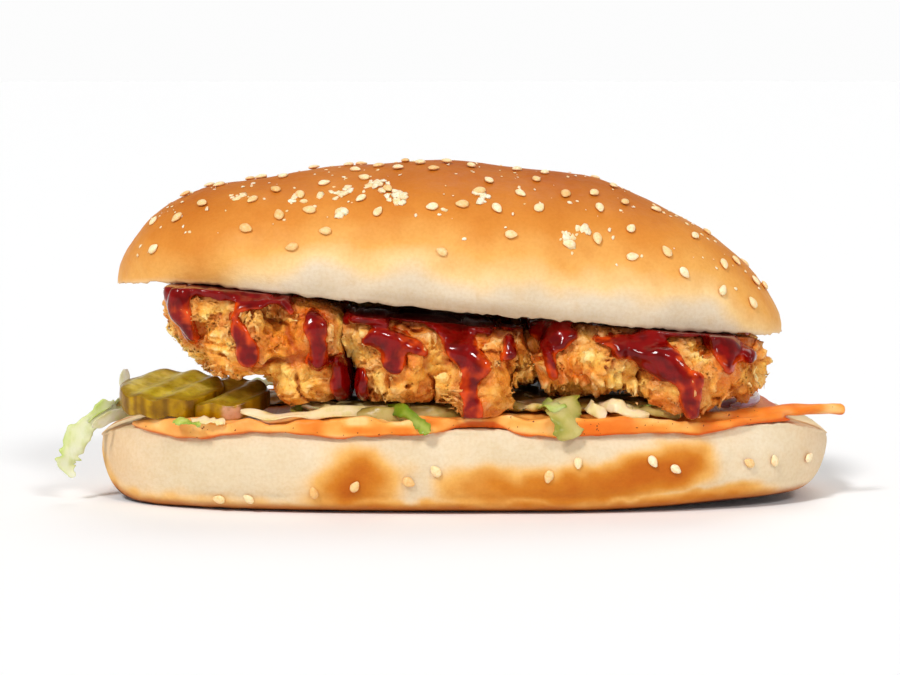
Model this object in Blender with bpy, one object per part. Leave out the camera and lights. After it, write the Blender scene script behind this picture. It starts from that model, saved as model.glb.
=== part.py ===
# Long fried chicken burger: a sesame bun, three pieces of crisp chicken with thick glaze,
# crinkle-cut pickle, shredded lettuce, onion and burger sauce.
# +X runs along the bun to the right, +Y to the back and +Z up. Sizes below are in millimetres,
# and the meshes are made in metres. The origin is under the middle of the burger.

import math
import random

import bpy
import numpy as np
from mathutils import Matrix, Vector
from mathutils.bvhtree import BVHTree

MM = 0.001
GAP = 0.4

# Top half of the bun
CROWN_HALF_LENGTH = 80.5
CROWN_HALF_WIDTH = 36.0
CROWN_HEIGHT = 33.2
CROWN_FLOOR = 47.5
CROWN_SLOPE = -0.0963
CROWN_DROOP_START = 55.0
CROWN_DROOP = 0.006
CROWN_SKEW = 0.075
CROWN_NOSE_RISE = 2.8
CROWN_TUCK = 0.055
CROWN_STATIONS = 24
CROWN_ARC_STEPS = 14

# Bottom half of the bun
HEEL_CENTRE = 3.5
HEEL_HALF_LENGTH = 88.3
HEEL_HALF_WIDTH = 36.4
HEEL_TOP = 20.0
HEEL_DIP = 1.6
HEEL_DIP_AT = -60.0
HEEL_DIP_WIDTH = 18.0
HEEL_END_DROP = 2.4
HEEL_SHOULDER_DROP = 2.8
HEEL_SHOULDER_POWER = 30
HEEL_NOSE_HEIGHT = 11.5
HEEL_END_LIFT_POWER = 26
HEEL_RIGHT_LIFT = 2.4
HEEL_STATIONS = 24
HEEL_SIDE = ((0.80, 0.0), (0.91, 0.07), (0.97, 0.22), (1.0, 0.48), (0.985, 0.78), (0.945, 1.0))
HEEL_SIDE_STEPS = 6

# Sesame seeds
SEED_LENGTH = 3.3
SEED_WIDTH = 2.5
SEED_THICKNESS = 1.25
SEED_SINK = 0.22
SEED_SPACING = 5.6
CROWN_SEEDS = 90
HEEL_SEEDS = 20

# Burger sauce, spread on the bottom half
SAUCE_THICKNESS = 2.4
SAUCE_END_THICKNESS = 1.2
SAUCE_STATIONS = 38
SAUCE_HALF_LENGTH = 80.5

# Chicken
PIECE_GRID = 10
BLEND = 4.5
CRAG_SIZE = 9.0
CRAG_HEIGHT = 2.1
FINE_CRAG_SIZE = 4.6
FINE_CRAG_HEIGHT = 1.0
CROWN_CLEARANCE = 3.0

# Crinkle-cut pickle
PICKLE_RADIUS = 12.2
PICKLE_CENTRE = (-66.3, -15.0, 25.9)
PICKLE_THICKNESS = 5.2
PICKLE_TILT = 9.5
PICKLE_RIDGE_PITCH = 7.2
PICKLE_RIDGE_HEIGHT = 0.65
PICKLE_RIDGE_TURN = 28.0
SECOND_PICKLE_RADIUS = 11.4
SECOND_PICKLE_CENTRE = (-54.3, -15.6, 24.75)
SECOND_PICKLE_MIDDLE = (-48.5, -15.6, 24.95)
SECOND_PICKLE_THICKNESS = 4.3

# Lettuce
LETTUCE_THICKNESS = 0.9
LETTUCE_BED = 2.6
LETTUCE_BED_START = -60.0
LETTUCE_BED_END = 49.0


def clear_scene():
    for obj in list(bpy.data.objects):
        bpy.data.objects.remove(obj, do_unlink=True)


def material(name, colour, roughness, metallic=0.0):
    made = bpy.data.materials.new(name)
    made.use_nodes = True
    shader = made.node_tree.nodes["Principled BSDF"]
    shader.inputs["Base Color"].default_value = (*colour, 1.0)
    shader.inputs["Roughness"].default_value = roughness
    shader.inputs["Metallic"].default_value = metallic
    return made


def mesh_object(name, points, faces, finish):
    """An object from points in millimetres."""
    mesh = bpy.data.meshes.new(name)
    mesh.from_pydata([tuple(float(c) * MM for c in p) for p in points], [], faces)
    mesh.materials.append(finish)
    mesh.shade_smooth()
    mesh.set_sharp_from_angle(angle=math.radians(50))
    obj = bpy.data.objects.new(name, mesh)
    bpy.context.scene.collection.objects.link(obj)
    return obj


def ramp(value, start, end):
    t = np.clip((value - start) / (end - start), 0.0, 1.0)
    return t * t * (3.0 - 2.0 * t)


def bump(x, centre, width):
    return math.exp(-(((x - centre) / width) ** 2))


def loft(rings, first=None, last=None):
    """Points and faces of closed rings in order. An end is a point, or else a flat fan."""
    count = len(rings[0])
    points = [p for ring in rings for p in ring]
    faces = []
    for k in range(len(rings) - 1):
        a, b = k * count, (k + 1) * count
        for j in range(count):
            n = (j + 1) % count
            faces.append((a + j, a + n, b + n, b + j))
    for end, base in ((first, 0), (last, (len(rings) - 1) * count)):
        if end is None:
            end = tuple(np.mean(rings[0 if base == 0 else -1], axis=0))
        points.append(end)
        tip = len(points) - 1
        for j in range(count):
            n = (j + 1) % count
            faces.append((tip, base + n, base + j) if base == 0 else (tip, base + j, base + n))
    return points, faces


def flipped(points, faces):
    return points, [tuple(reversed(f)) for f in faces]


def fuse(base, pieces):
    """Joins the pieces to the base by one Boolean union, and removes them."""
    if not pieces:
        return base
    group = bpy.data.collections.new(base.name + "_pieces")
    bpy.context.scene.collection.children.link(group)
    for piece in pieces:
        bpy.context.scene.collection.objects.unlink(piece)
        group.objects.link(piece)
    union = base.modifiers.new("Union", "BOOLEAN")
    union.operation = "UNION"
    union.solver = "EXACT"
    union.operand_type = "COLLECTION"
    union.collection = group
    graph = bpy.context.evaluated_depsgraph_get()
    joined = bpy.data.meshes.new_from_object(base.evaluated_get(graph))
    base.modifiers.clear()
    base.data = joined
    for piece in list(group.objects):
        bpy.data.objects.remove(piece, do_unlink=True)
    bpy.data.collections.remove(group)
    return base


# Smooth random fields, so that crumb and crust are uneven but the same each run

LATTICE = 32
lattice_values = np.random.default_rng(7).uniform(-1.0, 1.0, (LATTICE, LATTICE, LATTICE))


def field(points, size, shift=0.0):
    """A smooth random value from -1 to 1 at each point, with features of about this size."""
    p = np.asarray(points, float) / size + shift
    cell = np.floor(p).astype(int)
    f = p - cell
    f = f * f * f * (f * (f * 6.0 - 15.0) + 10.0)
    total = np.zeros(len(p))
    for corner in range(8):
        step = np.array([corner & 1, corner >> 1 & 1, corner >> 2 & 1])
        index = (cell + step) % LATTICE
        weight = np.prod(np.where(step, f, 1.0 - f), axis=1)
        total += weight * lattice_values[index[:, 0], index[:, 1], index[:, 2]]
    return total


# The top half of the bun


def crown_floor(x):
    """Height of the cut face under the top half."""
    droop = CROWN_DROOP * max(0.0, -CROWN_DROOP_START - x) ** 2
    return CROWN_FLOOR + CROWN_SLOPE * x - droop


def crown_point(x, angle):
    """A point of the crust. The angle runs from the front rim, over the top, to the back rim."""
    share = min(1.0, abs(x) / CROWN_HALF_LENGTH)
    plan = (1.0 - share**2.5) ** (1 / 2.3)
    rise = math.sqrt(1.0 - share**2) * (1.0 + CROWN_SKEW * math.sin(math.pi * x / CROWN_HALF_LENGTH))
    across, up = math.cos(angle), max(0.0, math.sin(angle))
    y = -math.copysign(abs(across) ** 0.88, across) * CROWN_HALF_WIDTH * plan
    y *= 1.0 - CROWN_TUCK * (1.0 - up) ** 4
    z = crown_floor(x) + CROWN_HEIGHT * rise * up**0.92
    swell = 1.0 + 0.012 * math.sin(0.11 * x + 2.0 * angle) + 0.01 * math.sin(0.19 * x - 3.0 * angle)
    return Vector((x, y * swell, crown_floor(x) + (z - crown_floor(x)) * swell))


def crown_shell():
    rings = []
    for k in range(1, CROWN_STATIONS):
        x = CROWN_HALF_LENGTH * math.sin(-math.pi / 2 + math.pi * k / CROWN_STATIONS)
        arc = [tuple(crown_point(x, math.pi * j / CROWN_ARC_STEPS)) for j in range(CROWN_ARC_STEPS + 1)]
        front, back = arc[0][1], arc[-1][1]
        cut = [(x, back + (front - back) * j / 4, crown_floor(x)) for j in (1, 2, 3)]
        rings.append(arc + cut)
    tips = []
    for x in (-CROWN_HALF_LENGTH, CROWN_HALF_LENGTH):
        tips.append((x, 0.0, crown_floor(x) + CROWN_NOSE_RISE))
    return flipped(*loft(rings, *tips))


# The bottom half of the bun


def heel_share(x):
    return min(1.0, abs(x - HEEL_CENTRE) / HEEL_HALF_LENGTH)


def heel_plan(x):
    return (1.0 - heel_share(x) ** 2.8) ** (1 / 2.2)


def heel_x(k):
    """Position of a station along the bottom half, from 0 at its left tip."""
    return HEEL_CENTRE - HEEL_HALF_LENGTH * math.cos(math.pi * k / HEEL_STATIONS)


def heel_top_curve(x):
    share = heel_share(x)
    end = HEEL_END_DROP * float(ramp(share, 0.82, 1.0)) + HEEL_SHOULDER_DROP * share**HEEL_SHOULDER_POWER
    return HEEL_TOP - HEEL_DIP * bump(x, HEEL_DIP_AT, HEEL_DIP_WIDTH) - end


def heel_top(x):
    """Height of the cut face, straight between stations. The pickle presses it down at the left."""
    turn = math.acos(min(1.0, max(-1.0, (HEEL_CENTRE - x) / HEEL_HALF_LENGTH)))
    k = min(HEEL_STATIONS - 1, int(turn / math.pi * HEEL_STATIONS))
    near, far = heel_x(k), heel_x(k + 1)
    share = (x - near) / (far - near)
    return heel_top_curve(near) * (1.0 - share) + heel_top_curve(far) * share


def heel_bottom(x):
    end = HEEL_NOSE_HEIGHT * heel_share(x) ** HEEL_END_LIFT_POWER
    return end + HEEL_RIGHT_LIFT * float(ramp(x, 28.0, 84.0))


def heel_side(height):
    """Half width at a height from 0 to 1, as a share of the widest: a smooth curve through HEEL_SIDE."""
    widths, heights = zip(*HEEL_SIDE)
    slopes = np.gradient(widths, heights)
    k = min(len(heights) - 2, max(0, int(np.searchsorted(heights, height)) - 1))
    step = heights[k + 1] - heights[k]
    t = (height - heights[k]) / step
    return float(
        (2 * t**3 - 3 * t**2 + 1) * widths[k]
        + (t**3 - 2 * t**2 + t) * step * slopes[k]
        + (3 * t**2 - 2 * t**3) * widths[k + 1]
        + (t**3 - t**2) * step * slopes[k + 1]
    )


def heel_point(x, height, side):
    """A point of the side crust: height from 0 to 1, and side -1 at the front or 1 at the back."""
    low, high = heel_bottom(x), heel_top(x)
    y = side * HEEL_HALF_WIDTH * heel_plan(x) * heel_side(height)
    return Vector((x, y, low + (high - low) * height))


def heel_shell():
    heights = [(j / HEEL_SIDE_STEPS) ** 1.25 for j in range(HEEL_SIDE_STEPS + 1)]
    rings = []
    for k in range(1, HEEL_STATIONS):
        x = heel_x(k)
        front = [tuple(heel_point(x, h, -1)) for h in heights]
        back = [tuple(heel_point(x, h, 1)) for h in reversed(heights)]
        top = [(x, front[-1][1] * s, heel_top(x)) for s in (0.5, 0.0, -0.5)]
        bottom = [(x, front[0][1] * s, heel_bottom(x)) for s in (-0.5, 0.0, 0.5)]
        rings.append(front + top + back + bottom)
    left = (HEEL_CENTRE - HEEL_HALF_LENGTH, 0.0, HEEL_NOSE_HEIGHT)
    right = (HEEL_CENTRE + HEEL_HALF_LENGTH, 0.0, HEEL_NOSE_HEIGHT + HEEL_RIGHT_LIFT)
    return flipped(*loft(rings, left, right))


# Sesame seeds


def seed_piece(name, centre, normal, twist, finish):
    """One seed: a low ellipsoid that is pointed at one end, lying on the crust."""
    sides, levels = 6, 3
    points = [Vector((0, 0, 0.5))]
    for level in range(1, levels):
        polar = math.pi * level / levels
        for side in range(sides):
            turn = 2 * math.pi * side / sides
            girth = math.sin(polar)
            points.append(Vector((girth * math.cos(turn), girth * math.sin(turn), math.cos(polar))) * 0.5)
    points.append(Vector((0, 0, -0.5)))
    turned = normal.to_track_quat("Z", "Y").to_matrix() @ Matrix.Rotation(twist, 3, "Z")
    placed = []
    for p in points:
        narrow = 1.0 - 0.55 * max(0.0, p.x * 2) ** 2
        size = Vector((p.x * SEED_LENGTH, p.y * SEED_WIDTH * narrow, p.z * SEED_THICKNESS))
        placed.append(tuple(centre + turned @ size))
    faces = [(0, 1 + s, 1 + (s + 1) % sides) for s in range(sides)]
    for level in range(levels - 2):
        a, b = 1 + level * sides, 1 + (level + 1) * sides
        faces += [(a + s, b + s, b + (s + 1) % sides, a + (s + 1) % sides) for s in range(sides)]
    a, tip = 1 + (levels - 2) * sides, len(points) - 1
    faces += [(a + (s + 1) % sides, a + s, tip) for s in range(sides)]
    return mesh_object(name, placed, faces, finish)


def surface_frame(surface, a, b, step_a, step_b):
    """A point of a crust and its outward normal, by differences along both of its parameters."""
    here = surface(a, b)
    normal = (surface(a + step_a, b) - here).cross(surface(a, b + step_b) - here).normalized()
    return here, normal


def crown_seed_places():
    """Random places on the crust, kept apart, fewer near the cut and some more of them in front."""
    rng = random.Random(11)
    places = []
    while len(places) < CROWN_SEEDS:
        x = rng.uniform(-0.94, 0.94) * CROWN_HALF_LENGTH
        angle = rng.choice((rng.uniform(0.10, 0.90), rng.uniform(0.14, 0.46))) * math.pi
        twist = rng.uniform(0, 2 * math.pi)
        if rng.random() > 0.35 + 0.65 * math.sin(angle):
            continue
        point, normal = surface_frame(crown_point, x, angle, 0.5, 0.02)
        normal = -normal if normal.z < 0 and normal.y * point.y < 0 else normal
        if all((point - other[0]).length > SEED_SPACING for other in places):
            places.append((point, normal, twist))
    return places


def heel_seed_places():
    """Random places low on the side at the left and higher up at the right, more of them in front."""
    rng = random.Random(5)
    places = []
    while len(places) < HEEL_SEEDS:
        x = HEEL_CENTRE + rng.uniform(-0.76, 0.93) * HEEL_HALF_LENGTH
        height = 0.17 + 0.36 * float(ramp(x, -34.0, 2.0)) + rng.uniform(-0.06, 0.10)
        side = rng.choice((-1, -1, 1))
        twist = rng.uniform(0, 2 * math.pi)
        here = heel_point(x, height, side)
        along = heel_point(x + 0.5, height, side) - here
        above = heel_point(x, height + 0.05, side) - here
        normal = along.cross(above).normalized() * -side
        if all((here - other[0]).length > SEED_SPACING for other in places):
            places.append((here, normal, twist))
    return places


def seeds_on(base, places, finish):
    """Fuses the seeds on, each lowered onto the flat facets of the crust."""
    tree = BVHTree.FromObject(base, bpy.context.evaluated_depsgraph_get())
    pieces = []
    for k, (point, normal, twist) in enumerate(places):
        centre = tree.find_nearest(point * MM)[0] / MM + normal * SEED_SINK
        pieces.append(seed_piece(f"{base.name}_seed_{k}", centre, normal, twist, finish))
    return fuse(base, pieces)


# Burger sauce: a spread layer with a tongue at the right end and drips over the rim


def sauce_roof(x):
    """Height of the spread sauce, which is thin under the pickle and at the right end."""
    thick = float(ramp(x, -42.0, -33.0) * (1.0 - ramp(x, 50.0, 60.0)))
    return heel_top(x) + SAUCE_END_THICKNESS + (SAUCE_THICKNESS - SAUCE_END_THICKNESS) * thick


def sauce_overhang(x, side):
    """How far the sauce reaches past the rim: over 0 it hangs over it, and under 0 it stops short."""
    if side < 0:
        drips = 1.6 * bump(x, -63, 9) + 1.2 * bump(x, -24, 9) + 0.8 * bump(x, 27, 7) + 0.9 * bump(x, 52, 10)
        notch = 4.2 * bump(x, 6.5, 8.5)
        return -0.9 + drips - notch + 0.5 * math.sin(0.31 * x)
    drips = 1.5 * bump(x, 35, 9) + 1.3 * bump(x, -40, 10)
    return -1.3 + drips + 0.5 * math.sin(0.27 * x + 1.0)


def sauce_side(x, side):
    """Points of the sauce's edge at one side, from the inside bottom, round the lip, to the inside top."""
    top = heel_top(x)
    rim = HEEL_HALF_WIDTH * heel_plan(x) * heel_side(1.0)
    over = sauce_overhang(x, side)
    hang = float(ramp(over, 0.0, 1.2))
    wall = HEEL_HALF_WIDTH * heel_plan(x) * heel_side(0.84) + 0.75
    floor, roof = top + GAP, sauce_roof(x)
    if hang > 0:
        drop = 0.3 + 2.6 * hang
        edge = [
            (rim * 0.6, floor),
            (wall, floor + 0.1),
            (wall + 0.1, top - drop * 0.55),
            (wall + 0.5, top - drop),
            (wall + 1.3, top - drop * 0.6),
            (wall + 1.2, top + 0.6),
            (rim - 0.8, roof),
        ]
    else:
        reach = rim + over
        edge = [
            (rim * 0.6, floor),
            (reach - 1.4, floor),
            (reach - 0.4, floor + 0.08),
            (reach, floor + 0.25),
            (reach + 0.1, (floor + roof) / 2),
            (reach - 0.2, roof - 0.25),
            (reach - 1.6, roof),
        ]
    return [(x, side * y, z) for y, z in edge]


def sauce_shell():
    rings = []
    for k in range(SAUCE_STATIONS + 1):
        x = HEEL_CENTRE + SAUCE_HALF_LENGTH * math.sin(math.pi * (k / SAUCE_STATIONS - 0.5))
        roof = sauce_roof(x)
        front, back = sauce_side(x, -1), sauce_side(x, 1)
        rings.append(front + [(x, 0.0, roof)] + back[::-1] + [(x, 0.0, heel_top(x) + GAP)])
    return flipped(*loft(rings))


def strip(path, width, thickness, lean=0.0, ruffle=0.0, sections=8):
    """A thin strip along a smooth curve through the path. A lean of 0 lays its width level."""
    path = [Vector(p) for p in path]
    flat = Vector((0, 0, 1))
    rings = []
    for k in range(sections + 1):
        t = k / sections * (len(path) - 1)
        here, ahead = curve_point(path, t), curve_point(path, min(len(path) - 1.0, t + 0.05))
        along = (ahead - curve_point(path, max(0.0, t - 0.05))).normalized()
        flat = along.cross(flat).normalized() if k == 0 else (flat - along * flat.dot(along)).normalized()
        turned = Matrix.Rotation(lean + ruffle * math.sin(2.1 * k), 3, along)
        taper = 0.45 + 0.55 * math.sin(math.pi * (0.12 + 0.76 * k / sections))
        w = turned @ flat * width * taper / 2
        h = turned @ along.cross(flat) * thickness / 2
        rings.append([tuple(here + w + h), tuple(here - w + h), tuple(here - w - h), tuple(here + w - h)])
    return loft(rings)


def curve_point(path, t):
    """A point on the smooth curve through the path, at t from 0 to the last point's number."""
    k = min(len(path) - 2, int(t))
    f = t - k
    a, b = path[max(0, k - 1)], path[k]
    c, d = path[k + 1], path[min(len(path) - 1, k + 2)]
    cubic = (2 * a - 5 * b + 4 * c - d) * f**2 + (3 * b - a - 3 * c + d) * f**3
    return 0.5 * ((2 * b) + (c - a) * f + cubic)


def outward(points, faces):
    """The faces turned, if need be, so that the solid's volume is positive."""
    total = 0.0
    for f in faces:
        for k in range(1, len(f) - 1):
            a, b, c = (Vector(points[f[0]]), Vector(points[f[k]]), Vector(points[f[k + 1]]))
            total += a.dot(b.cross(c))
    return (points, faces) if total > 0 else flipped(points, faces)


# Lettuce: a low bed of shreds under the chicken, with the shreds that stick out fused on


def lettuce_floor(x):
    return sauce_roof(x) + GAP


def lettuce_roof(x):
    inside = float(ramp(x, -41.0, -33.0) * (1.0 - ramp(x, LETTUCE_BED_END - 5, LETTUCE_BED_END + 3)))
    return lettuce_floor(x) + 1.2 + (LETTUCE_BED - 1.2) * inside


def lettuce_bed():
    """The bed, which at the left lies only behind the pickle."""
    rings = []
    stations = 20
    for k in range(stations + 1):
        x = LETTUCE_BED_START + (LETTUCE_BED_END - LETTUCE_BED_START) * k / stations
        back = 27.5 * min(1.0, heel_plan(x) * 1.02) + 1.0 * math.sin(1.7 * x)
        front = 1.5 - (back + 1.0) * float(ramp(x, -40.0, -32.0))
        floor, roof = lettuce_floor(x), lettuce_roof(x)
        middle = (floor + roof) / 2
        rings.append(
            [(x, front, middle), (x, front + 1.2, floor), (x, back - 1.2, floor)]
            + [(x, back, middle), (x, back - 1.5, roof), (x, front + 1.5, roof)]
        )
    return outward(*loft(rings))


LETTUCE_SHREDS = (
    # Hanging from the left end, past the bun
    (((-56, 8, 21.6), (-68, 5, 22.0), (-78.2, -5.4, 22.1), (-84.5, -13, 20.4)), 3.2, 0.9),
    (((-81, -11, 22.2), (-87.2, -14, 18.4), (-91.2, -15, 12.8), (-92.0, -15, 6.2)), 5.0, 1.45),
    # Pale pieces on the left end, one of them upright
    (((-70, 2, 21.4), (-77, -5, 21.2), (-81, -13, 20.8), (-84.6, -17, 18.4)), 3.2, 0.5),
    (((-68, 3, 22.0), (-75.5, -1, 23.2), (-79.0, -3, 26.2), (-79.0, -3, 30.6)), 2.6, 1.3),
    # Long pale shred in front, under the left chicken
    (((-46, -29.5, 23.3), (-38, -30.2, 23.6), (-28, -29.6, 24.0), (-12, -26.5, 24.6)), 3.6, -0.5),
    # Small green leaf over the rim
    (((-15, -27, 24.6), (-10.5, -34.2, 24.5), (-7, -37.2, 22.0), (-4.4, -37.2, 20.0)), 3.0, 1.2),
    # Leaf folded over the rim in the middle
    (((27, -20, 24.6), (27, -29.0, 25.6), (27.5, -34.8, 24.4), (28, -37.6, 20.6)), 7.5, 0.05),
    # Curled leaf under the right chicken
    (((34, -20, 24.4), (36.5, -27.5, 24.8), (41, -29.8, 24.4), (46, -26, 24.2)), 3.8, 0.7),
    # Along the back
    (((-56, 16, 22.2), (-50, 28.5, 22.8), (-46, 33.2, 22.9), (-43, 37.8, 21.2)), 5.0, 0.2),
    (((-22, 20, 24.0), (-16, 29.5, 24.6), (-8, 31.0, 24.6), (2, 27, 24.2)), 4.4, 0.5),
    (((14, 20, 24.4), (18, 29.0, 25.2), (20, 34.2, 24.2), (21, 37.4, 20.4)), 6.5, 0.05),
    (((42, 18, 24.4), (46, 27.5, 24.4), (53, 29.5, 23.8), (58, 26, 23.4)), 4.0, 0.4),
)


def lettuce(finish):
    bed = mesh_object("lettuce", *lettuce_bed(), finish)
    shreds = []
    for k, (path, width, lean) in enumerate(LETTUCE_SHREDS):
        shape = outward(*strip(path, width, LETTUCE_THICKNESS, lean, 0.12))
        shreds.append(mesh_object(f"shred_{k}", *shape, finish))
    return fuse(bed, shreds)


# Crinkle-cut pickle slices


def ridges(x, y):
    turn = math.radians(PICKLE_RIDGE_TURN)
    across = x * math.cos(turn) - y * math.sin(turn)
    return PICKLE_RIDGE_HEIGHT * math.cos(2 * math.pi * across / PICKLE_RIDGE_PITCH + 0.6)


def pickle_slab(name, centre, thickness, reach, finish):
    """A slice with both faces ridged alike. Its outline is reach(angle), the distance from its centre."""
    turns, circles = 26, 4
    grid = [(0.0, 0.0)]
    for circle in range(1, circles + 1):
        for j in range(turns):
            angle = 2 * math.pi * j / turns
            distance = reach(angle) * circle / circles
            grid.append((distance * math.cos(angle), distance * math.sin(angle)))
    half = thickness / 2
    points = [(x, y, ridges(x, y) + half) for x, y in grid]
    points += [(x, y, ridges(x, y) - half) for x, y in grid]
    under = len(grid)
    faces = []
    for j in range(turns):
        n = (j + 1) % turns
        faces += [(0, 1 + j, 1 + n), (under, under + 1 + n, under + 1 + j)]
        for circle in range(circles - 1):
            a, b = 1 + circle * turns, 1 + (circle + 1) * turns
            faces += [(a + j, b + j, b + n), (a + j, b + n, a + n)]
            faces.append((under + b + n, under + b + j, under + a + j))
            faces.append((under + a + n, under + b + n, under + a + j))
        rim = 1 + (circles - 1) * turns
        faces.append((rim + j, under + rim + j, under + rim + n, rim + n))
    turned = Matrix.Rotation(math.radians(PICKLE_TILT), 3, "X")
    placed = [tuple(Vector(centre) + turned @ Vector(p)) for p in points]
    return mesh_object(name, placed, faces, finish)


def second_pickle_reach(angle):
    """A round slice that stops short of the first one where they meet, measured from its middle."""
    along = Vector((math.cos(angle), math.sin(angle)))
    to_own = Vector(SECOND_PICKLE_CENTRE).xy - Vector(SECOND_PICKLE_MIDDLE).xy
    ahead = along.dot(to_own)
    reach = ahead + math.sqrt(ahead**2 - to_own.length_squared + SECOND_PICKLE_RADIUS**2)
    to_first = Vector(PICKLE_CENTRE).xy - Vector(SECOND_PICKLE_MIDDLE).xy
    ahead = along.dot(to_first)
    inside = ahead**2 - to_first.length_squared + (PICKLE_RADIUS + 0.75) ** 2
    if ahead > 0 and inside > 0:
        reach = min(reach, ahead - math.sqrt(inside))
    return reach


def pickles(finish):
    pickle_slab("pickle_left", PICKLE_CENTRE, PICKLE_THICKNESS, lambda angle: PICKLE_RADIUS, finish)
    pickle_slab("pickle_right", SECOND_PICKLE_MIDDLE, SECOND_PICKLE_THICKNESS, second_pickle_reach, finish)


# Onion: arcs of thin rings that lie under the right end of the chicken


def onion_arc(name, centre, radius, start, end, width, height, finish):
    sections = 9
    rings = []
    inner, outer = radius - width / 2, radius + width / 2
    for k in range(sections + 1):
        turn = start + (end - start) * k / sections
        tall = height * (0.5 + 0.5 * math.sin(math.pi * (0.15 + 0.7 * k / sections)))
        across = [(inner, 0.0), (outer, 0.1), (outer + 0.2, tall * 0.5)]
        across += [(outer - 0.1, tall), (inner + 0.2, tall * 0.9)]
        x, y, z = centre
        rings.append([(x + r * math.cos(turn), y + r * math.sin(turn), z + h) for r, h in across])
    return mesh_object(name, *outward(*loft(rings)), finish)


# Chicken: lumps blended into one craggy body, clipped between the layers above and below


def ellipsoid_distance(points, lump):
    x, y, z, rx, ry, rz = lump
    centre, radii = np.array((x, y, z)), np.array((rx, ry, rz))
    scaled = (points - centre) / radii
    reach = np.linalg.norm(scaled, axis=1)
    slope = np.linalg.norm(scaled / radii, axis=1) + 1e-9
    return reach * (reach - 1.0) / slope


def smooth_min(a, b, blend):
    h = np.clip(0.5 + 0.5 * (b - a) / blend, 0.0, 1.0)
    return b + (a - b) * h - blend * h * (1.0 - h)


def chicken_distance(points, lumps, walls):
    """Signed distance to a piece: negative inside. Each wall is a function that is positive outside."""
    points = np.asarray(points, float)
    total = ellipsoid_distance(points, lumps[0])
    for lump in lumps[1:]:
        total = smooth_min(total, ellipsoid_distance(points, lump), BLEND)
    total -= CRAG_HEIGHT * np.abs(field(points, CRAG_SIZE))
    total -= FINE_CRAG_HEIGHT * field(points, FINE_CRAG_SIZE, 3.7)
    for wall in walls:
        total = np.maximum(total, wall(points))
    return total


def below_crown(points):
    """Stays under the top half, with a gap in front over the middle of the burger."""
    x, y, z = points.T
    floors = np.array([crown_floor(across) for across in x])
    along = ramp(x, -34.0, -20.0) * (1.0 - ramp(x, 14.0, 26.0))
    clearance = CROWN_CLEARANCE * along * (1.0 - ramp(y, -4.0, 14.0))
    return z - (floors - GAP - 0.1 - clearance)


def above_bed(points):
    """Stays over the lettuce and sauce, apart from the lobe that hangs in front of them."""
    roofs = np.array([lettuce_roof(x) for x in points[:, 0]]) + GAP + 0.1
    spread = np.array([sauce_roof(x) for x in points[:, 0]]) + GAP + 0.2
    inside = ramp(points[:, 1], -33.0, -30.0)
    return (spread + (roofs - spread) * inside) - points[:, 2]


def left_of_joint(points):
    return points[:, 0] - (-22.4 - (points[:, 2] - 28.0) * 0.21)


def right_of_joint(points):
    return (-21.8 - (points[:, 2] - 28.0) * 0.21) - points[:, 0]


def left_of_gap(points):
    return points[:, 0] - (15.6 + (44.0 - points[:, 2]) * 0.4)


def right_of_gap(points):
    return (16.2 + (44.0 - points[:, 2]) * 0.4) - points[:, 0]


def clear_of_pickle(points):
    """Keeps the left piece over the tilted pickle slices, and its low lobe to the right of them."""
    slope = math.tan(math.radians(PICKLE_TILT))
    top = PICKLE_CENTRE[2] + PICKLE_THICKNESS / 2 + PICKLE_RIDGE_HEIGHT + GAP + 0.2
    over = top + slope * (points[:, 1] - PICKLE_CENTRE[1]) - points[:, 2]
    beside = -40.2 - points[:, 0]
    return np.minimum(over, beside)


LEFT_LUMPS = (
    (-46, -18, 44, 17, 16, 11),
    (-44, 12, 44, 18, 20, 11),
    (-55, -22, 46, 9, 11, 9),
    (-56, 10, 46, 9, 16, 8),
    (-33, -22, 41, 11, 12, 8),
    (-33, 8, 40, 11, 22, 10),
    (-33, -20, 31, 9, 11, 7.5),
    (-33, 14, 31, 9, 16, 7.5),
    (-59, -24, 49, 6, 9, 6),
    (-31, 14, 42, 10, 14, 10),
    (-49, -24, 37.6, 8, 9, 6.4),
)
MIDDLE_LUMPS = (
    (-8, -18, 36, 15, 16, 10),
    (-4, 12, 37, 18, 20, 11),
    (10, -20, 36, 11, 13, 9),
    (-18, -20, 42, 8, 12, 6),
    (-10, -24, 32, 11, 10, 7),
    (8, -29.5, 29, 6.5, 7.5, 9),
    (14, 8, 34, 11, 22, 8),
    (-14, 20, 33, 10, 13, 8),
    (-19, 16, 43, 10, 12, 8),
    (14, 17, 38, 9, 13, 9),
    (12, 14, 31, 9, 14, 6.5),
)
RIGHT_LUMPS = (
    (33, -17, 36, 16, 16, 9),
    (36, 12, 36, 18, 20, 9),
    (54, -19, 34, 13, 14, 9),
    (55, 10, 35, 15, 20, 9),
    (66, -14, 33, 8, 13, 7),
    (55, -27, 29, 8, 8, 7),
    (24, -16, 33, 8, 14, 5.5),
    (68, 8, 33, 7, 13, 6),
    (24, 17, 37, 9, 14, 9),
    (26, 14, 31, 8, 14, 6.5),
)


def distance_along(origin, directions, distance, reach=60.0, steps=120):
    """How far along each direction the outermost wall lies, from a point inside."""
    far = np.full(len(directions), 0.5)
    for k in range(steps):
        r = reach * (k + 1) / steps
        inside = distance(origin + directions * r) < 0
        far = np.where(inside, r, far)
    near, beyond = far.copy(), far + reach / steps
    for _ in range(10):
        middle = (near + beyond) / 2
        inside = distance(origin + directions * middle[:, None]) < 0
        near, beyond = np.where(inside, middle, near), np.where(inside, beyond, middle)
    return near


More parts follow.
